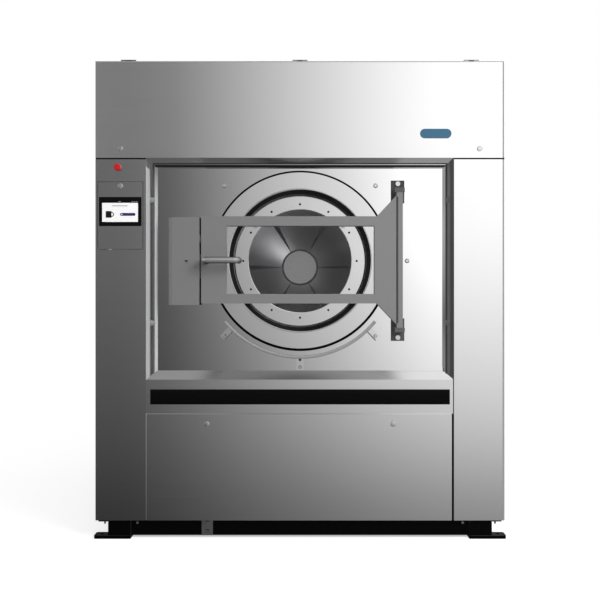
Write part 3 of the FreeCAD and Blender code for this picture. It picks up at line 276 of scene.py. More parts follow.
def mouldedPlastic(name, look):
    material, tree, shader = startFinish(name, look["color"], look["rough"])
    shader.inputs["Specular IOR Level"].default_value = look["shine"]
    fine = objectNoise(tree, (look["grain"],) * 3, noiseDetail["plastic"])
    varyRough(tree, shader, fine, look["rough"], roughVary["plastic"])
    return material


def softRubber(name, look):
    material, tree, shader = startFinish(name, look["color"], look["rough"])
    shader.inputs["Specular IOR Level"].default_value = look["shine"]
    bloom = objectNoise(tree, (look["grain"],) * 3, noiseDetail["rubber"])
    varyRough(tree, shader, bloom, look["rough"], roughVary["rubber"])
    addBump(tree, shader, bloom, look["depth"])
    return material


def clearGlass(name, look):
    material, tree, shader = startFinish(name, look["color"], look["rough"])
    shader.inputs["Transmission Weight"].default_value = 1
    shader.inputs["IOR"].default_value = look["ior"]
    shader.inputs["Coat Weight"].default_value = look["coat"]
    shader.inputs["Coat Roughness"].default_value = look["rough"]
    return material


panelSteel = {"color": (0.72, 0.72, 0.725), "rough": 0.15, "streak": 0.02, "grain": (2.5, 2.5, 420),
              "depth": 0.000004, "wallRough": 0.10}
# painted shade and reflection: the tray's base tone runs from dark at its left side to light at its right
traySteel = {"color": (0.72, 0.72, 0.725), "rough": 0.07, "streak": 0.01, "grain": (2.5, 2.5, 420),
             "depth": 0.000003, "wallRough": 0.10, "leftPaintedTone": 0.46, "rightPaintedTone": 0.84, "toneFrom": -0.65,
             "toneTo": 0.65}
# painted highlight: the top panel's base tone is lighter towards its left end
roofSteel = dict(panelSteel, leftPaintedTone=0.95, rightPaintedTone=0.72, toneFrom=-0.90, toneTo=-0.55)
# painted shade: a darker copy of the panel steel for the left pillar and the control door
leftShadedSteel = dict(panelSteel, color=(0.64, 0.64, 0.645))
# painted reflection: the sill's base tone rises from its left part to its right
sillSteel = dict(panelSteel, leftPaintedTone=0.70, rightPaintedTone=0.80, toneFrom=-0.20, toneTo=0.45)
trimSteel = {"color": (0.74, 0.74, 0.745), "rough": 0.20, "streak": 0.04, "marks": 900, "depth": 0.00001}
drumSteel = {"color": (0.42, 0.42, 0.43), "rough": 0.34, "streak": 0.05, "marks": 500, "depth": 0.00001}
zincPlate = {"color": (0.22, 0.22, 0.225), "rough": 0.42, "streak": 0.08, "grain": (60, 60, 60),
             "depth": 0.00002}
boltSteel = {"color": (0.72, 0.72, 0.72), "rough": 0.28, "streak": 0.04, "grain": (150, 150, 150),
             "depth": 0.00001}
castIron = {"color": (0.10, 0.10, 0.105), "rough": 0.62, "peel": 700, "depth": 0.0006, "shine": 0.4}
doorPaint = {"color": (0.235, 0.235, 0.238), "rough": 0.46, "peel": 900, "depth": 0.00005, "shine": 0.3}
bracketPaint = dict(doorPaint, color=(0.115, 0.115, 0.117))
trimPaint = dict(doorPaint, color=(0.36, 0.36, 0.36))
basePaint = {"color": (0.0015, 0.0015, 0.0015), "rough": 0.45, "peel": 900, "depth": 0.00005, "shine": 0.05}
framePaint = {"color": (0.13, 0.135, 0.14), "rough": 0.5, "peel": 900, "depth": 0.00005, "shine": 0.3}
boxPaint = {"color": (0.42, 0.42, 0.41), "rough": 0.5, "peel": 900, "depth": 0.00005, "shine": 0.4}
motorPaint = {"color": (0.09, 0.11, 0.13), "rough": 0.48, "peel": 700, "depth": 0.0001, "shine": 0.4}
gasketRubber = {"color": (0.006, 0.006, 0.006), "rough": 0.18, "grain": 500, "depth": 0.00002, "shine": 0.4}
bumperRubber = {"color": (0.0025, 0.0025, 0.0025), "rough": 0.6, "grain": 500, "depth": 0.0001, "shine": 0.07}
# painted shade: a dark tone for the ring behind the hub's edge
hubShadeTone = dict(bumperRubber, color=(0.085, 0.085, 0.086), shine=0.1)
# painted shade: a dark tone for the strip under the tray's top flange
flangeShadeDark = dict(bumperRubber, color=(0.022, 0.022, 0.023), shine=0.2)
bezelPlastic = {"color": (0.003, 0.003, 0.0033), "rough": 0.32, "grain": 700, "shine": 0.12}
stopPlastic = {"color": (0.62, 0.012, 0.014), "rough": 0.34, "grain": 700, "shine": 0.4}
pipePlastic = {"color": (0.16, 0.16, 0.165), "rough": 0.5, "grain": 400, "shine": 0.4}
badgePaint = {"color": (0.040, 0.125, 0.205), "rough": 0.4, "grain": 700, "shine": 0.3}
brass = {"color": (0.62, 0.44, 0.17), "rough": 0.3, "streak": 0.05, "grain": (200, 200, 200),
         "depth": 0.00001}
windowGlass = {"color": (0.99, 0.99, 0.99), "rough": 0.02, "ior": 1.004, "coat": 0.02}
# painted reflection: the handle's upper and lower sides are darkened in base colour
handleSteel = {"color": (0.64, 0.64, 0.645), "rough": 0.46, "streak": 0.04, "grain": (30, 400, 400),
               "depth": 0.000002, "edgeReflectTone": 0.06, "edgeFrom": 0.66, "edgeTo": 0.88}
softSteel = {"color": (0.74, 0.74, 0.745), "rough": 0.70, "streak": 0.02, "grain": (150, 150, 150),
             "depth": 0.000004}
lockSteel = {"color": (0.66, 0.66, 0.665), "rough": 0.28, "streak": 0.03, "grain": (150, 150, 150),
             "depth": 0.000002}
hubSteel = {"color": (0.095, 0.095, 0.097), "rough": 0.30, "streak": 0.04, "marks": 500, "depth": 0.000004}
# painted light and shade: lit and shaded copies of one paint for the recess, pale and bright where light falls,
# dark and grey where shade falls
wallLitPaint = {"color": (0.68, 0.68, 0.69), "rough": 0.5, "peel": 900, "depth": 0.00002, "shine": 0.2}
flangeLitPaint = dict(wallLitPaint, color=(0.94, 0.94, 0.95))
cornerShadePaint = dict(wallLitPaint, color=(0.14, 0.142, 0.145))
linerShadePaint = dict(wallLitPaint, color=(0.42, 0.422, 0.43))
sleevePaint = {"color": (0.07, 0.07, 0.072), "rough": 0.5, "peel": 900, "depth": 0.00005, "shine": 0.2}

finishes = {
    "stainless": brushedSteel("panelSteel", panelSteel),
    "polished_steel": turnedSteel("trimSteel", trimSteel),
    "drum_steel": turnedSteel("drumSteel", drumSteel),
    "zinc": brushedSteel("zincPlate", zincPlate),
    "bright_steel": brushedSteel("boltSteel", boltSteel),
    "brass_body": brushedSteel("brass", brass),
    "cast": sprayedPaint("castIron", castIron),
    "grey_paint": sprayedPaint("doorPaint", doorPaint),
    "black_paint": sprayedPaint("basePaint", basePaint),
    "dark_frame": sprayedPaint("framePaint", framePaint),
    "box_paint": sprayedPaint("boxPaint", boxPaint),
    "motor_shell": sprayedPaint("motorPaint", motorPaint),
    "black_rubber": softRubber("gasketRubber", gasketRubber),
    "black_plastic": mouldedPlastic("bezelPlastic", bezelPlastic),
    "red_plastic": mouldedPlastic("stopPlastic", stopPlastic),
    "drain_plastic": mouldedPlastic("pipePlastic", pipePlastic),
    "blue_plate": mouldedPlastic("badgePaint", badgePaint),
    "window_glass": clearGlass("windowGlass", windowGlass),
}
lockNodes = ("top_lock_left", "top_lock_right", "lower_lock_left", "lower_lock_right", "control_lock")
nodeFinishes = {node: finishes[slotName] for node, slotName in nodeSlots.items()}
nodeFinishes["front_tray"] = brushedSteel("traySteel", traySteel)
nodeFinishes["tray_fasteners"] = finishes["bright_steel"]
nodeFinishes["top_panel"] = brushedSteel("roofSteel", roofSteel)
# painted shade: the left pillar and the control door get the darker steel
nodeFinishes["left_pillar"] = nodeFinishes["control_door"] = brushedSteel("leftShadedSteel", leftShadedSteel)
lockFinish = brushedSteel("lockSteel", lockSteel)
for node in lockNodes:
    nodeFinishes[node] = lockFinish
nodeFinishes["hinge_brackets"] = sprayedPaint("bracketPaint", bracketPaint)
nodeFinishes["hub_cover"] = turnedSteel("hubSteel", hubSteel)
for node, part in parts.items():
    part.data.materials.clear()
    part.data.materials.append(nodeFinishes[node])
# the steel mirrors the studio, and of the machine only the round opening with the drum behind it
mirrored = ("door_collar", "door_gasket", "door_ring", "drum_shell", "drum_back", "lifters", "hub_cover")
for node, part in parts.items():
    part.visible_glossy = node in mirrored
print("finishes laid:", len(finishes))

# door handle: one bent rod with a rounded free end
handle = {"segments": 32, "bendRadius": 0.017, "bendSteps": 12, "endRound": 0.006, "spindleRadius": 0.010,
          "returnLength": 0.045, "swell": 0.0012}


def buildHandle():
    low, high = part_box("door_handle")
    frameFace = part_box("door_frame")[0].y
    rodRadius = (high.z - low.z) / 2 + handle["swell"]
    bend = handle["bendRadius"]
    pivot = Vector((low.x + rodRadius, frameFace, (low.z + high.z) / 2))
    leverY = low.y + rodRadius
    leverEnd = high.x - rodRadius
    quarter = math.pi / 2
    bm = bmesh.new()
    upright = Matrix.Rotation(quarter, 4, "X")
    steps, sides = handle["bendSteps"], handle["segments"]
    spindle = bmesh.ops.create_circle(bm, cap_ends=True, segments=sides, radius=handle["spindleRadius"],
                                      matrix=Matrix.Translation((pivot.x, high.y, pivot.z)) @ upright)["verts"]
    runStraight(bm, edgesOf(spindle), (0, frameFace - high.y, 0))
    foot = bmesh.ops.create_circle(bm, cap_ends=True, segments=sides, radius=rodRadius,
                                   matrix=Matrix.Translation(pivot) @ upright)["verts"]
    ring = runStraight(bm, edgesOf(foot), (0, leverY + bend - frameFace, 0))
    ring = runBend(bm, ring, (pivot.x + bend, leverY + bend, pivot.z), (0, 0, 1), quarter, steps)
    ring = runStraight(bm, ring, (leverEnd - pivot.x - 2 * bend, 0, 0))
    ring = runBend(bm, ring, (leverEnd - bend, leverY + bend, pivot.z), (0, 0, 1), quarter, steps)
    ring = runStraight(bm, ring, (0, handle["returnLength"] - bend, 0))
    closeRound(bm, ring, handle["endRound"])
    newPiece("doorHandle", bm, brushedSteel("handleSteel", handleSteel), "handle",
             ("door_handle",))


buildHandle()
print("handle bent")

# door gasket: rubber ribs between the door ring and the collar, whose steel lip is rolled over their edge
gasket = {"steps": 192, "ribCount": 4, "ribHeight": 0.0025, "ribArc": 8, "ringGap": 0.0022, "slope": 0.004,
          "ribWidth": 0.96, "ribFrom": 0.3137, "throatDrop": 0.030, "lipFrom": 0.3330, "lipTo": 0.3385,
          "lipSink": 0.001, "lipHeight": 0.0026}


def buildGasket():
    throat = ringHigh.x + gasket["ringGap"]
    mouth, back = gasketLow.y, gasketHigh.y
    pitch = (gasket["lipFrom"] - gasket["ribFrom"]) / gasket["ribCount"]
    turns = [math.pi * arc / gasket["ribArc"] for arc in range(gasket["ribArc"] + 1)]
    outline = [(gasketHigh.x, back), (throat, back), (throat, mouth + gasket["throatDrop"])]
    for rib in range(gasket["ribCount"]):
        base = mouth + gasket["ribHeight"] + gasket["slope"] * (gasket["ribCount"] - 1 - rib)
        middle = gasket["ribFrom"] + pitch * (rib + 0.5)
        outline += [(middle - pitch / 2 * math.cos(turn) * gasket["ribWidth"],
                     base - gasket["ribHeight"] * math.sin(turn)) for turn in turns]
    turnedPiece("doorGasket", outline, doorHub, gasket["steps"], finishes["black_rubber"], "tub",
                ("door_gasket",), mirrors=True)
    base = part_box("door_collar")[0].y + gasket["lipSink"]
    middle, half = (gasket["lipTo"] + gasket["lipFrom"]) / 2, (gasket["lipTo"] - gasket["lipFrom"]) / 2
    outline = [(middle - half * math.cos(turn), base - gasket["lipHeight"] * math.sin(turn)) for turn in turns]
    turnedPiece("collarLip", outline, doorHub, gasket["steps"], finishes["polished_steel"], "tub",
                mirrors=True)


buildGasket()
print("gasket turned")

# door glass: a deep moulded bowl
glassBowl = {"steps": 128, "wall": 0.008, "arcs": 20, "squareness": 2.6, "screwGap": 0.031, "smooth": 40}


def buildGlass():
    low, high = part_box("door_glass")
    wall = glassBowl["wall"]
    rim = low.y
    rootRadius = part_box("door_screws")[1].x - doorX - glassBowl["screwGap"]

    def bowl(radius, depth):
        points = []
        for step in range(glassBowl["arcs"] + 1):
            share = math.cos(math.pi / 2 * step / glassBowl["arcs"])
            power = glassBowl["squareness"]
            points.append((radius * share, depth * (1 - share ** power) ** (1 / power)))
        return points

    depth = high.y - low.y
    outside = [(radius, rim + along) for radius, along in bowl(rootRadius - wall, depth)]
    inside = [(radius, rim + along) for radius, along in bowl(rootRadius - 2 * wall, depth - wall)]
    outside[0] = (rootRadius - wall, rim + wall)
    outline = [(high.x, rim), (high.x, rim + wall)] + outside + inside[::-1]
    bm = bmesh.new()
    turnOutline(bm, outline, doorHub, glassBowl["steps"])
    newPiece("doorGlass", bm, finishes["window_glass"], "door", ("door_glass",),
             glassBowl["smooth"])


buildGlass()
print("glass moulded")

# bumper: a rubber bar with a soft front
bumper = {"round": 0.012, "segments": 5}


def buildBumper():
    low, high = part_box("bumper")
    bm = bmesh.new()
    addBox(bm, low, high)
    frontEdges = [edge for edge in bm.edges if all(abs(vert.co.y - low.y) < touching for vert in edge.verts)]
    roundEdges(bm, frontEdges, bumper["round"], bumper["segments"])
    newPiece("bumperBar", bm, softRubber("bumperRubber", bumperRubber), "cabinet",
             ("bumper",))


buildBumper()
print("bumper rounded")

# air springs: rubber bellows that stretch between the base and the tub
airSpring = {"steps": 64, "folds": 3, "arcs": 8, "radius": 0.115, "waist": 0.092}


def buildAirSprings():
    low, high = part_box("air_springs")
    inset, waist, arcs = airSpring["radius"], airSpring["waist"], airSpring["arcs"]
    springX = high.x - inset
    pitch = (high.z - low.z) / airSpring["folds"]
    outline = [(0, low.z)]
    for fold in range(airSpring["folds"]):
        outline += [(waist + (inset - waist) * math.sin(math.pi * arc / arcs),
                     low.z + pitch * (fold + arc / arcs)) for arc in range(arcs + 1)]
    outline.append((0, high.z))
    for end, stationY in (("Front", low.y + inset), ("Rear", high.y - inset)):
        for side, sideX in (("Left", -springX), ("Right", springX)):
            bm = bmesh.new()
            turnOutline(bm, outline, (sideX, stationY, 0), airSpring["steps"], (0, 0, 1), closed=False)
            spring = newPiece("spring" + end + side, bm, finishes["black_rubber"], None)
            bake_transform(spring)
            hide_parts("air_springs")


buildAirSprings()
print("air springs turned")

# drain hose: a ribbed sleeve between the valve and the drain pipe
drainHose = {"steps": 64, "ribs": 5, "arcs": 6, "ribHeight": 0.006, "wall": 0.003,
             "ribStart": 0.2, "ribShare": 0.6}


def buildDrainHose():
    low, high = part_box("drain_hose")
    centreX, centreY = (low.x + high.x) / 2, (low.y + high.y) / 2
    hoseRadius = (high.x - low.x) / 2 - drainHose["ribHeight"]
    pitch = (high.z - low.z) / drainHose["ribs"]
    outline = [(hoseRadius - drainHose["wall"], low.z), (hoseRadius, low.z)]
    for rib in range(drainHose["ribs"]):
        for arc in range(drainHose["arcs"] + 1):
            turn = math.pi * arc / drainHose["arcs"]
            along = rib + drainHose["ribStart"] + drainHose["ribShare"] * arc / drainHose["arcs"]
            outline.append((hoseRadius + drainHose["ribHeight"] * math.sin(turn), low.z + pitch * along))
    outline += [(hoseRadius, high.z), (hoseRadius - drainHose["wall"], high.z)]
    bm = bmesh.new()
    turnOutline(bm, outline, (centreX, centreY, 0), drainHose["steps"], (0, 0, 1))
    hose = newPiece("drainSleeve", bm, finishes["black_rubber"], None)
    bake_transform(hose)
    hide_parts("drain_hose")


buildDrainHose()
print("drain sleeve turned")

# display: a lit screen with plain shapes on it, no words
display = {"lift": 0.0004, "left": -0.8698, "bottom": 1.3974, "right": -0.7124, "top": 1.4810, "glow": 0.25,
           "rough": 0.25, "roundShare": 0.45, "roundSteps": 6, "ringSteps": 32}
uiColors = {"screenWhite": (0.90, 0.90, 0.91), "lineGrey": (0.36, 0.37, 0.39),
            "pillBlue": (0.028, 0.02, 0.11), "iconBlack": (0.004, 0.004, 0.005)}
# name, ink, then left, bottom, right and top as shares of the screen, and the layer
uiPlates = (("screenField", "screenWhite", 0.0, 0.0, 1.0, 1.0, 1),
            ("headingLine", "lineGrey", 0.28, 0.82, 0.71, 0.87, 2),
            ("iconSquare", "iconBlack", 0.10, 0.22, 0.26, 0.57, 2),
            ("startPill", "pillBlue", 0.50, 0.32, 0.93, 0.47, 2),
            ("pillDot", "screenWhite", 0.535, 0.37, 0.565, 0.42, 3),
            ("statusMiddle", "lineGrey", 0.46, 1.05, 0.52, 1.08, 1),
            ("statusFirst", "lineGrey", 0.83, 1.045, 0.86, 1.085, 1),
            ("statusSecond", "lineGrey", 0.90, 1.045, 0.92, 1.085, 1),
            ("statusThird", "lineGrey", 0.955, 1.045, 0.98, 1.085, 1))
iconRing = {"across": 0.265, "upward": 0.395, "radius": 0.0105, "hole": 0.0068, "layer": 2}


def litFinish(name, color):
    material, tree, shader = startFinish(name, color, display["rough"])
    shader.inputs["Emission Color"].default_value = (*color, 1)
    shader.inputs["Emission Strength"].default_value = display["glow"]
    return material


def buildDisplay():
    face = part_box("display_panel")[0].y
    inks = {name: litFinish(name, color) for name, color in uiColors.items()}
    lift = display["lift"]
    width, height = display["right"] - display["left"], display["top"] - display["bottom"]
    for name, ink, left, bottom, right, top, layer in uiPlates:
        low = (display["left"] + left * width, face - lift * layer, display["bottom"] + bottom * height)
        high = (display["left"] + right * width, face + lift, display["bottom"] + top * height)
        bm = bmesh.new()
        addBox(bm, low, high)
        if ink == "pillBlue":
            sideEdges = [edge for edge in bm.edges if abs(edge.verts[0].co.y - edge.verts[1].co.y) > lift]
            roundEdges(bm, sideEdges, (high[2] - low[2]) * display["roundShare"], display["roundSteps"])
        newPiece(name, bm, inks[ink], "control_door")
    centre = (display["left"] + iconRing["across"] * width, 0, display["bottom"] + iconRing["upward"] * height)
    hole, rim, front = iconRing["hole"], iconRing["radius"], face - iconRing["layer"] * lift
    turnedPiece("iconRing", [(hole, front), (rim, front), (rim, face + lift), (hole, face + lift)], centre,
                display["ringSteps"], inks["iconBlack"], "control_door")


buildDisplay()
print("display lit")

# painted shade: dark strips in the gaps beside the lower panel and the apron, and a dark ring round the collar,
# stand for the shade in those gaps; a polished rim on the collar's face
gapShades = {"setback": 0.006, "depth": 0.010, "gapWidth": 0.010, "panelGap": 0.0012, "apronGap": 0.0006,
         "ringInner": 0.4142, "ringOuter": 0.4285, "proud": 0.0035, "behind": 0.0015, "steps": 160,
         "edgeRound": 0.001}
collarRim = {"inner": 0.3385, "outer": 0.4145, "wall": 0.0006, "round": 0.0006, "depth": 0.016}


def buildGapShadesAndRim():
    rubber = softRubber("gapShadeTone", bumperRubber)
    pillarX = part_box("right_pillar")[0].x
    front = frontY + gapShades["setback"]
    for name, node, gap, finish, slotName in (
            ("panelGapShade", "lower_panel", gapShades["panelGap"], rubber, "black_rubber"),
            ("apronGapShade", "apron", gapShades["apronGap"], finishes["dark_frame"], "dark_frame")):
        low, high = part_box(node)
        edge = high.x if node == "apron" else pillarX - gapShades["gapWidth"]
        bm = bmesh.new()
        verts = addBox(bm, (edge + gap, front, low.z), (pillarX, front + gapShades["depth"], high.z))
        upright = [side for side in edgesOf(verts) if side.verts[0].co.z != side.verts[1].co.z]
        roundEdges(bm, upright, gapShades["edgeRound"])
        newPiece(name, bm, finish, "cabinet")
    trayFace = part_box("drip_gutter")[1].y
    inner, outer = gapShades["ringInner"], gapShades["ringOuter"]
    front, back = trayFace - gapShades["proud"], trayFace + gapShades["behind"]
    outline = [(inner, front), ((inner + outer) / 2, front - gapShades["edgeRound"]), (outer, front), (outer, back),
               (inner, back)]
    turnedPiece("collarGapShade", outline, doorHub, gapShades["steps"], rubber, "tub", mirrors=True)
    inner, outer, soft = collarRim["inner"], collarRim["outer"], collarRim["round"]
    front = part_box("door_collar")[0].y - collarRim["wall"]
    outline = [(inner, front + collarRim["wall"]), (inner + soft, front), (outer - soft, front),
               (outer, front + soft), (outer, front + collarRim["depth"])]
    turnedPiece("collarRim", outline, doorHub, gapShades["steps"], finishes["polished_steel"], "tub",
                closed=False, mirrors=True)


buildGapShadesAndRim()
print("seals laid")

# sleeves over the three knuckles of the top panel's hinge
sleeve = {"places": (-0.755, 0.0, 0.755), "halfWidth": 0.033, "setback": 0.006, "radius": 0.0054,
          "knuckle": 0.005, "steps": 32}


def buildSleeves():
    dark = sprayedPaint("sleevePaint", sleevePaint)
    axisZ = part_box("top_panel")[1].z - sleeve["knuckle"]
    for number, middle in enumerate(sleeve["places"]):
        bm = bmesh.new()
        place = Matrix.Translation((middle - sleeve["halfWidth"], frontY + sleeve["setback"], axisZ))
        rim = bmesh.ops.create_circle(bm, segments=sleeve["steps"], radius=sleeve["radius"],
                                      matrix=place @ Matrix.Rotation(math.pi / 2, 4, "Y"))["verts"]
        runStraight(bm, edgesOf(rim), (2 * sleeve["halfWidth"], 0, 0))
        newPiece("hingeSleeve%d" % (number + 1), bm, dark, "cabinet")


buildSleeves()
print("hinge sleeves on")

# flat caps with a soft rim on the quarter-turn locks
lockCap = {"steps": 48, "height": 0.0015, "arcs": 6, "radius": 0.012, "rim": 0.0015}


def buildLockCaps():
    for node in lockNodes:
        low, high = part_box(node)
        camLeft = node in ("top_lock_right", "lower_lock_right")  # these cams point to the left at rest
        centreX = high.x - lockCap["radius"] if camLeft else low.x + lockCap["radius"]
        centre = (centreX, 0, (low.z + high.z) / 2)
        outline = []
        for arc in range(lockCap["arcs"] + 1):
            turn = math.pi / 2 * arc / lockCap["arcs"]
            outline.append((lockCap["radius"] - lockCap["rim"] * (1 - math.cos(turn)),
                            low.y - lockCap["height"] * math.sin(turn)))
        outline.append((0, low.y - lockCap["height"]))
        turnedPiece(node + "Cap", outline, centre, lockCap["steps"], nodeFinishes[node], node,
                    closed=False)


buildLockCaps()
print("lock caps on")

# gutter lip, rolled over the front edge, and a dark strip on each side tab's edge as painted shadow
gutterLip = {"radius": 0.456, "halfWidth": 0.0075, "halfAngle": 51, "bulge": 0.004, "arcs": 8, "steps": 60,
             "tabShadeFrom": 0.466, "tabShadeTo": 0.519, "tabShadeHalf": 0.0022, "tabShadeReach": 0.022, "tabShadeAngle": 43.5}


def buildGutterLip():
    low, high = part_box("drip_gutter")
    half = gutterLip["halfWidth"]
    bm = bmesh.new()
    verts = []
    for arc in range(gutterLip["arcs"] + 1):
        turn = math.pi * arc / gutterLip["arcs"]
        verts.append(bm.verts.new((doorX, low.y - gutterLip["bulge"] * math.sin(turn),
                                   doorZ - gutterLip["radius"] - half * math.cos(turn))))
    section = bm.faces.new(verts)
    ringTurn = math.radians(gutterLip["halfAngle"])
    bmesh.ops.rotate(bm, verts=bm.verts[:], cent=doorHub, matrix=Matrix.Rotation(-ringTurn, 3, "Y"))
    bmesh.ops.spin(bm, geom=[section, *section.edges, *verts], cent=doorHub, axis=(0, 1, 0), dvec=(0, 0, 0),
                   angle=2 * ringTurn, steps=gutterLip["steps"], use_merge=False, use_duplicate=False)
    newPiece("gutterLip", bm, brushedSteel("softSteel", softSteel), "tub")
    for name, side in (("gutterShadeLeft", 1), ("gutterShadeRight", -1)):
        bm = bmesh.new()
        addBox(bm, (doorX - gutterLip["tabShadeHalf"], high.y - gutterLip["tabShadeReach"], doorZ - gutterLip["tabShadeTo"]),
               (doorX + gutterLip["tabShadeHalf"], high.y, doorZ - gutterLip["tabShadeFrom"]))
        bmesh.ops.rotate(bm, verts=bm.verts[:], cent=doorHub,
                         matrix=Matrix.Rotation(side * math.radians(gutterLip["tabShadeAngle"]), 3, "Y"))
        newPiece(name, bm, finishes["dark_frame"], "tub")


buildGutterLip()
print("gutter lip rolled")

# recess: grey liners, whose grey is painted shade, and studs in the gaps beside the tray; skins on the walls
# with painted light and shade; dark edges, slits and a strip under the tray's flange as painted shade
recess = {"linerX": 0.692, "linerWall": 0.002, "linerFront": -0.799, "linerBack": -0.602, "studRadius": 0.017,
          "studTip": 0.010, "studReach": 0.029, "studY": -0.752, "studHeights": (1.511, 0.949), "studSteps": 6,
          "studSmooth": 20, "flangeShadeWall": 0.0015, "flangeShadeInset": 0.002, "flangeShadeShort": 0.050, "roofRise": 0.016,
          "roofFront": -0.742, "slitGap": 0.0005, "slitDepth": 0.008, "slitSetback": 0.002, "skin": 0.0006,
          "skinMargin": 0.002, "returnBack": -0.801, "cornerDrop": 0.038, "edgeHalf": 0.004,
          "edgeReach": 0.006, "edgeGrip": 0.004}


def buildRecess():
    trayLow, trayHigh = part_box("front_tray")
    back, margin = recess["linerBack"], recess["skinMargin"]
    roofZ = trayHigh.z + recess["roofRise"]
    cornerZ = trayHigh.z - recess["cornerDrop"]
    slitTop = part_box("top_panel")[0].z - recess["slitGap"]
    pale, bright = sprayedPaint("wallLitPaint", wallLitPaint), sprayedPaint("flangeLitPaint", flangeLitPaint)
    dark, grey = sprayedPaint("cornerShadePaint", cornerShadePaint), sprayedPaint("linerShadePaint", linerShadePaint)
    matt = sprayedPaint("studPaint", trimPaint)
    rubber = bpy.data.materials["gapShadeTone"]
    for side, letter in ((-1, "Left"), (1, "Right")):
        near, far = side * recess["linerX"], side * (recess["linerX"] + recess["linerWall"])
        boxPiece("recessLiner" + letter, [((near, recess["linerFront"], trayLow.z), (far, back, trayHigh.z)),
                                          ((near, recess["roofFront"], trayHigh.z), (far, back, roofZ))],
                 grey, "cabinet")
        for number, height in enumerate(recess["studHeights"]):
            bm = bmesh.new()
            place = Matrix.Translation((near - side * recess["studReach"] / 2, recess["studY"], height))
            turn = Matrix.Rotation(-side * math.pi / 2, 4, "Y")
            bmesh.ops.create_cone(bm, cap_ends=True, segments=recess["studSteps"], radius1=recess["studRadius"],
                                  radius2=recess["studTip"], depth=recess["studReach"], matrix=place @ turn)
            newPiece("recessStud%s%d" % (letter, number + 1), bm, matt, "cabinet",
                     smoothAngle=recess["studSmooth"])
        # painted light and shade: skins on the side walls, pale at the left where light falls, dark at the
        # right and in both top corners where shade falls
        front, rear = frontY + margin, recess["returnBack"]
        skins = [("returnSkin", trayHigh.x, front, rear, trayLow.z + margin, cornerZ,
                  pale if side < 0 else dark, "cabinet", "stainless"),
                 ("cornerShadeSkin", trayHigh.x, front, rear, cornerZ, trayHigh.z, dark, "cabinet", "dark_frame")]
        if side < 0:
            skins.append(("flangeSkin", trayHigh.x - margin, trayLow.y, back, trayLow.z + margin,
                          trayHigh.z - 2 * margin, bright, "tub", "stainless"))
        for name, wallX, front, rear, bottom, top, finish, body, slotName in skins:
            outer, inner = side * wallX, side * (wallX - recess["skin"])
            boxPiece(name + letter, [((outer, front, bottom), (inner, rear, top))], finish, body)
        # painted shade: dark strips over the tray's side edges
        middle, half = side * (trayHigh.x - recess["edgeHalf"] / 2), recess["edgeHalf"]
        boxPiece("trayEdgeShade" + letter, [((middle - half, trayLow.y - recess["edgeReach"], trayLow.z),
                                        (middle + half, trayLow.y + recess["edgeGrip"], trayHigh.z))],
                 finishes["dark_frame"], "tub")
        # painted shade: a dark slit in the seam under the top panel
        pillarLow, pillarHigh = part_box(letter.lower() + "_pillar")
        front = frontY + recess["slitSetback"]
        boxPiece("topSlit" + letter, [((pillarLow.x, front, pillarHigh.z),
                                       (pillarHigh.x, front + recess["slitDepth"], slitTop))],
                 rubber, "cabinet")
    boxPiece("recessRoof", [((-recess["linerX"], recess["roofFront"], roofZ),
                             (recess["linerX"], back, roofZ + recess["linerWall"]))],
             finishes["dark_frame"], "cabinet")
    # painted shade: a dark strip under the tray's top flange
    inset = recess["flangeShadeInset"]
    boxPiece("trayFlangeShade", [((trayLow.x + inset, trayLow.y - inset, trayHigh.z - inset - recess["flangeShadeWall"]),
                           (trayHigh.x - inset, trayHigh.y - recess["flangeShadeShort"], trayHigh.z - inset))],
             softRubber("trayFlangeShadeTone", flangeShadeDark), "tub")


buildRecess()
print("recess lined")

# painted shade: a dark strip down the hinge bar's edge beside the frame
hingeShade = {"left": 0.4485, "width": 0.0075, "proud": 0.0006, "sink": 0.002, "margin": 0.042}


def buildHingeShade():
    low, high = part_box("hinge_bar")
    left, margin = hingeShade["left"], hingeShade["margin"]
    boxPiece("hingeShade", [((left, low.y - hingeShade["proud"], low.z + margin),
                             (left + hingeShade["width"], low.y + hingeShade["sink"], high.z - margin))],
             sprayedPaint("hingeShadePaint", sleevePaint), "door")


buildHingeShade()
print("hinge bar shaded")

# lock box: painted highlight, a pale strip on the left chamfer, and painted shade, dark strips in the gap
# facing the door, clear of the bolt and the tongue
boxTrim = {"chamfer": 0.011, "wall": 0.0012, "stripWall": 0.0015, "stripBack": 0.095,
           "stripHeights": ((1.032, 1.155), (1.270, 1.322), (1.358, 1.437))}


def buildBoxTrim():
    low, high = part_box("lock_housing")
    rubber = softRubber("boxGapShadeTone", bumperRubber)
    bm = bmesh.new()
    reach, half = boxTrim["chamfer"] / math.sqrt(2), boxTrim["chamfer"] / 2
    addBox(bm, (-reach, -boxTrim["wall"], low.z), (reach, 0, high.z))
    bmesh.ops.rotate(bm, verts=bm.verts[:], cent=(0, 0, 0), matrix=Matrix.Rotation(-math.pi / 4, 3, "Z"))
    bmesh.ops.translate(bm, verts=bm.verts[:], vec=(low.x + half, low.y + half, 0))
    newPiece("boxChamferHighlight", bm, sprayedPaint("trimPaint", trimPaint), "tub")
    outer, rear = high.x + boxTrim["stripWall"], low.y + boxTrim["stripBack"]
    for number, (bottom, top) in enumerate(boxTrim["stripHeights"]):
        boxPiece("boxGapShade%d" % (number + 1), [((high.x, low.y, bottom), (outer, rear, top))],
                 rubber, "tub")


buildBoxTrim()
print("lock box trimmed")

# hub: a plain disc over the drum's middle, with a dark ring behind its edge as painted shade
hubDisc = {"radius": 0.0925, "shade": 0.103, "proud": 0.0008, "steps": 96}


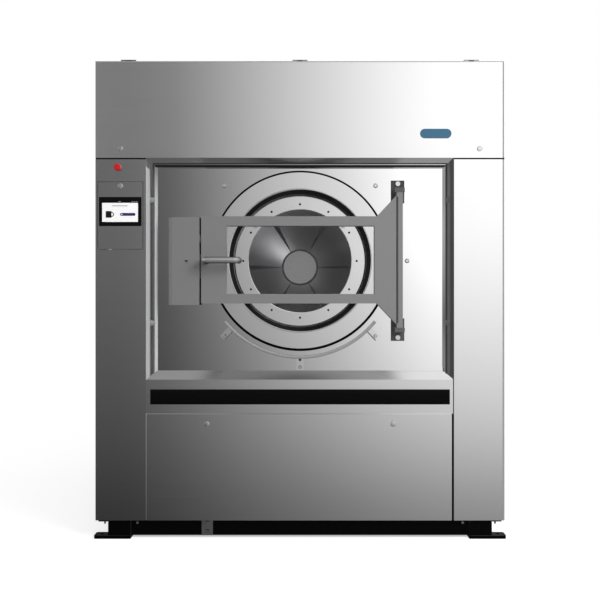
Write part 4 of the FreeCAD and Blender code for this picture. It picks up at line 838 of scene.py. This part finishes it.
def buildHub():
    low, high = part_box("hub_cover")
    centre = ((low.x + high.x) / 2, 0, (low.z + high.z) / 2)
    radius, shade, front = hubDisc["radius"], hubDisc["shade"], low.y - hubDisc["proud"]
    turnedPiece("hubDisc", [(0, front), (radius, front), (radius, low.y)], centre, hubDisc["steps"],
                nodeFinishes["hub_cover"], "drum", closed=False, mirrors=True)
    turnedPiece("hubShade", [(radius, low.y), (shade, low.y), (shade, high.y), (radius, high.y)], centre,
                hubDisc["steps"], softRubber("hubShadeTone", hubShadeTone), "drum", mirrors=True)


buildHub()
print("hub covered")

# cabinet edges: satin strips along the front's right and top edges, a sheet on the sill with a painted
# reflection tone, and, as painted shade, a dark slit round the control door and a dark film on its right edge
edging = {"width": 0.006, "inset": 0.0025, "proud": 0.0012, "sink": 0.003, "knuckleRise": 0.0080,
          "rimHeight": 0.003, "slit": 0.0016, "slitGap": 0.002, "slitSetback": 0.0001, "slitDepth": 0.0018,
          "film": 0.0004, "filmDepth": 0.011, "pinReach": 0.004}
sill = {"half": 0.676, "front": -0.885, "back": -0.662, "height": 0.7176, "slope": 0.0613, "wall": 0.0005}


def buildEdging():
    satin = bpy.data.materials["softSteel"]
    face, sunk = frontY - edging["proud"], frontY + edging["sink"]
    panelLow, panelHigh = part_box("top_panel")
    pillarLow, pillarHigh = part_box("right_pillar")
    rimTop = panelHigh.z - edging["knuckleRise"]
    for name, outer, bottom, top, body in (("edgeTop", panelHigh.x, panelLow.z, rimTop, "top_panel"),
                                           ("edgeSide", pillarHigh.x, pillarLow.z, pillarHigh.z, "cabinet")):
        outer -= edging["inset"]
        boxPiece(name, [((outer - edging["width"], face, bottom), (outer, sunk, top))],
                 satin, body)
    # the fold along the panel's top edge
    boxPiece("edgeRim", [((panelLow.x + edging["inset"], face, rimTop - edging["rimHeight"]),
                          (panelHigh.x - edging["inset"] - edging["width"], sunk, rimTop))],
             satin, "top_panel")
    bm = bmesh.new()
    for vert in bmesh.ops.create_grid(bm, x_segments=1, y_segments=1, size=1)["verts"]:
        alongY = sill["back"] if vert.co.y > 0 else sill["front"]
        vert.co = (math.copysign(sill["half"], vert.co.x), alongY,
                   sill["height"] + sill["slope"] * (alongY - sill["back"]))
    bmesh.ops.solidify(bm, geom=bm.faces[:], thickness=sill["wall"])
    newPiece("sillSheet", bm, brushedSteel("sillSteel", sillSteel), "cabinet")
    low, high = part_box("control_door")
    # the node's box counts the hinge pins too
    left, right = low.x + edging["pinReach"], high.x - edging["pinReach"]
    front, back = frontY + edging["slitSetback"], frontY + edging["slitDepth"]
    gap, slit = edging["slitGap"], edging["slit"]
    rubber = bpy.data.materials["gapShadeTone"]
    boxPiece("controlSlit", [((left - gap, front, low.z), (left - gap + slit, back, high.z + gap)),
                             ((right + gap - slit, front, low.z), (right + gap, back, high.z + gap)),
                             ((left - gap, front, high.z + gap - slit), (right + gap, back, high.z + gap))],
             rubber, "cabinet")
    # painted shade: a dark film over the control door's right edge
    boxPiece("controlEdgeShade", [((right, front, low.z),
                              (right + edging["film"], front + edging["filmDepth"], high.z))],
             rubber, "control_door")


buildEdging()
print("edges trimmed")

# small dark fittings: the stop button's collar, a plug in the lock box and one in the gutter's middle tab
fittings = {"steps": 40, "collarRadius": 0.0135, "collarBore": 0.0104, "collarHeight": 0.009,
            "plugRadius": 0.0065, "plugHeight": 0.004, "plugX": -0.526, "plugZ": 1.236, "tabPlugDrop": 0.470}


def buildFittings():
    dark = sprayedPaint("fittingPaint", sleevePaint)
    low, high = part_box("stop_button")
    bore, outer, face = fittings["collarBore"], fittings["collarRadius"], frontY - fittings["collarHeight"]
    centre = ((low.x + high.x) / 2, 0, (low.z + high.z) / 2)
    turnedPiece("stopCollar", [(bore, frontY), (outer, frontY), (outer, face), (bore, face)], centre,
                fittings["steps"], dark, "cabinet")
    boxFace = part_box("lock_housing")[0].y
    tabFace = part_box("drip_gutter")[1].y
    for name, place in (("boxPlug", (fittings["plugX"], boxFace, fittings["plugZ"])),
                        ("tabPlug", (doorX, tabFace, doorZ - fittings["tabPlugDrop"]))):
        radius, face = fittings["plugRadius"], place[1] - fittings["plugHeight"]
        turnedPiece(name, [(0, face), (radius, face), (radius, place[1])], place, fittings["steps"], dark,
                    "tub", closed=False)


buildFittings()
print("small fittings on")

# studio: a pale floor, a world that is dark at the left and bright at the right, a soft lamp at the right
# and two small ones at the drum
studio = {"across": ((-1.0, 0.70), (-0.6, 0.60), (-0.36, 0.24), (-0.27, 0.165), (-0.20, 0.15), (-0.15, 0.235),
                     (-0.098, 0.39), (0.0, 0.713), (0.073, 0.98), (0.147, 1.26), (0.22, 1.37), (0.34, 1.3),
                     (0.5, 0.7), (1.0, 0.6)),
          "behind": ((-1.0, 0.55), (-0.3, 0.28), (-0.15, 0.30), (0.0, 0.45), (0.15, 0.85), (0.3, 0.72),
                     (0.5, 0.6), (1.0, 0.55)),
          "turnOver": 0.15,
          "upward": ((-1.0, 0.45), (-0.5, 0.30), (-0.263, 0.19), (-0.21, 0.37), (-0.147, 0.58), (-0.073, 0.745),
                     (0.0, 0.89), (0.065, 1.03), (0.20, 1.15), (0.32, 1.15), (0.6, 0.80), (1.0, 0.75))}
lamp = {"place": (1.9, -3.2, 2.4), "aim": (0, -0.7, 1.1), "size": 1.6, "power": 70}
drumFill = {"place": (0.0, -0.44, 1.24), "aim": (0.0, 0.20, 1.24), "size": 0.5, "power": 1.45}
drumLamp = {"place": (-0.30, -0.34, 1.52), "aim": (-0.14, 0.20, 1.34), "size": 0.22, "power": 0.33}
floor = {"size": 40, "tone": 0.55, "rough": 0.9, "lift": 0.74, "shadeFrom": 0.78, "shadeTo": 0.86}
photoView = {"place": (0, -4.49, 1.054), "lens": 49.09, "sensor": 36}


def seenDirectly(tree):
    path = tree.nodes.new("ShaderNodeLightPath")
    return calculate(tree, "MAXIMUM", path.outputs["Is Camera Ray"], path.outputs["Is Transmission Ray"])


def shadedBand(tree, direction, stops):
    # brightness by direction, as pairs of turn and level
    halfway = 0.5  # new stops start there, and get their places below
    brightest = max(level for turn, level in stops)
    ramp = tree.nodes.new("ShaderNodeValToRGB")
    while len(ramp.color_ramp.elements) < len(stops):
        ramp.color_ramp.elements.new(halfway)
    for stop, (turn, level) in zip(ramp.color_ramp.elements, stops):
        stop.position = (turn + 1) / 2
        stop.color = (level / brightest,) * 3 + (1,)
    tree.links.new(spread(tree, direction, 0, 1, -1, 1), ramp.inputs["Fac"])
    return calculate(tree, "MULTIPLY", ramp.outputs["Color"], brightest)


def buildWorld():
    world = bpy.data.worlds.new("studioWorld")
    scene.world = world
    world.use_nodes = True
    tree = world.node_tree
    background = tree.nodes["Background"]
    background.inputs["Color"].default_value = (1, 1, 1, 1)
    look = splitCoords(tree, "Generated")
    ahead = spread(tree, look["Y"], 1, 0, -studio["turnOver"], studio["turnOver"])
    across = calculate(tree, "MULTIPLY", shadedBand(tree, look["X"], studio["across"]), ahead)
    behind = calculate(tree, "MULTIPLY", shadedBand(tree, look["X"], studio["behind"]),
                       calculate(tree, "SUBTRACT", 1, ahead))
    upward = shadedBand(tree, look["Z"], studio["upward"])
    glow = calculate(tree, "MULTIPLY", calculate(tree, "ADD", across, behind), upward)
    direct = seenDirectly(tree)
    unseen = calculate(tree, "SUBTRACT", 1, direct)
    strength = calculate(tree, "ADD", direct, calculate(tree, "MULTIPLY", glow, unseen))
    tree.links.new(strength, background.inputs["Strength"])


def buildFloor():
    bm = bmesh.new()
    bmesh.ops.create_grid(bm, x_segments=1, y_segments=1, size=floor["size"] / 2)
    mesh = bpy.data.meshes.new("studioFloor")
    bm.to_mesh(mesh)
    bm.free()
    ground = bpy.data.objects.new("studioFloor", mesh)
    scene.collection.objects.link(ground)
    material, tree, shader = startFinish("floorPale", (floor["tone"],) * 3, floor["rough"])
    shader.inputs["Specular IOR Level"].default_value = 0
    shader.inputs["Emission Color"].default_value = (1, 1, 1, 1)
    # the lift stops under the machine, whose base is open
    place = splitCoords(tree, "Object")
    edge = calculate(tree, "MAXIMUM", calculate(tree, "ABSOLUTE", place["X"]),
                     calculate(tree, "ABSOLUTE", place["Y"]))
    lift = spread(tree, edge, 0, floor["lift"], floor["shadeFrom"], floor["shadeTo"])
    tree.links.new(calculate(tree, "MULTIPLY", seenDirectly(tree), lift), shader.inputs["Emission Strength"])
    mesh.materials.append(material)
    ground.visible_glossy = False  # the steel mirrors the studio's lower dark side instead


def buildLamp(name, look, showsInSteel):
    light = bpy.data.lights.new(name, "AREA")
    light.energy = look["power"]
    light.size = look["size"]
    lampObject = bpy.data.objects.new(name, light)
    lampObject.location = look["place"]
    aim = Vector(look["aim"]) - Vector(look["place"])
    lampObject.rotation_euler = aim.to_track_quat("-Z", "Y").to_euler()
    lampObject.visible_glossy = showsInSteel
    lampObject.visible_camera = False
    scene.collection.objects.link(lampObject)


def buildCamera():
    camera = bpy.data.cameras.new("photoCamera")
    camera.lens = photoView["lens"]
    camera.sensor_width = photoView["sensor"]
    cameraObject = bpy.data.objects.new("photoCamera", camera)
    cameraObject.location = photoView["place"]
    cameraObject.rotation_euler = (math.pi / 2, 0, 0)
    scene.collection.objects.link(cameraObject)
    scene.camera = cameraObject


buildWorld()
buildFloor()
buildLamp("softLamp", lamp, False)
buildLamp("drumFill", drumFill, True)
buildLamp("drumLamp", drumLamp, True)
buildCamera()
print("studio set")
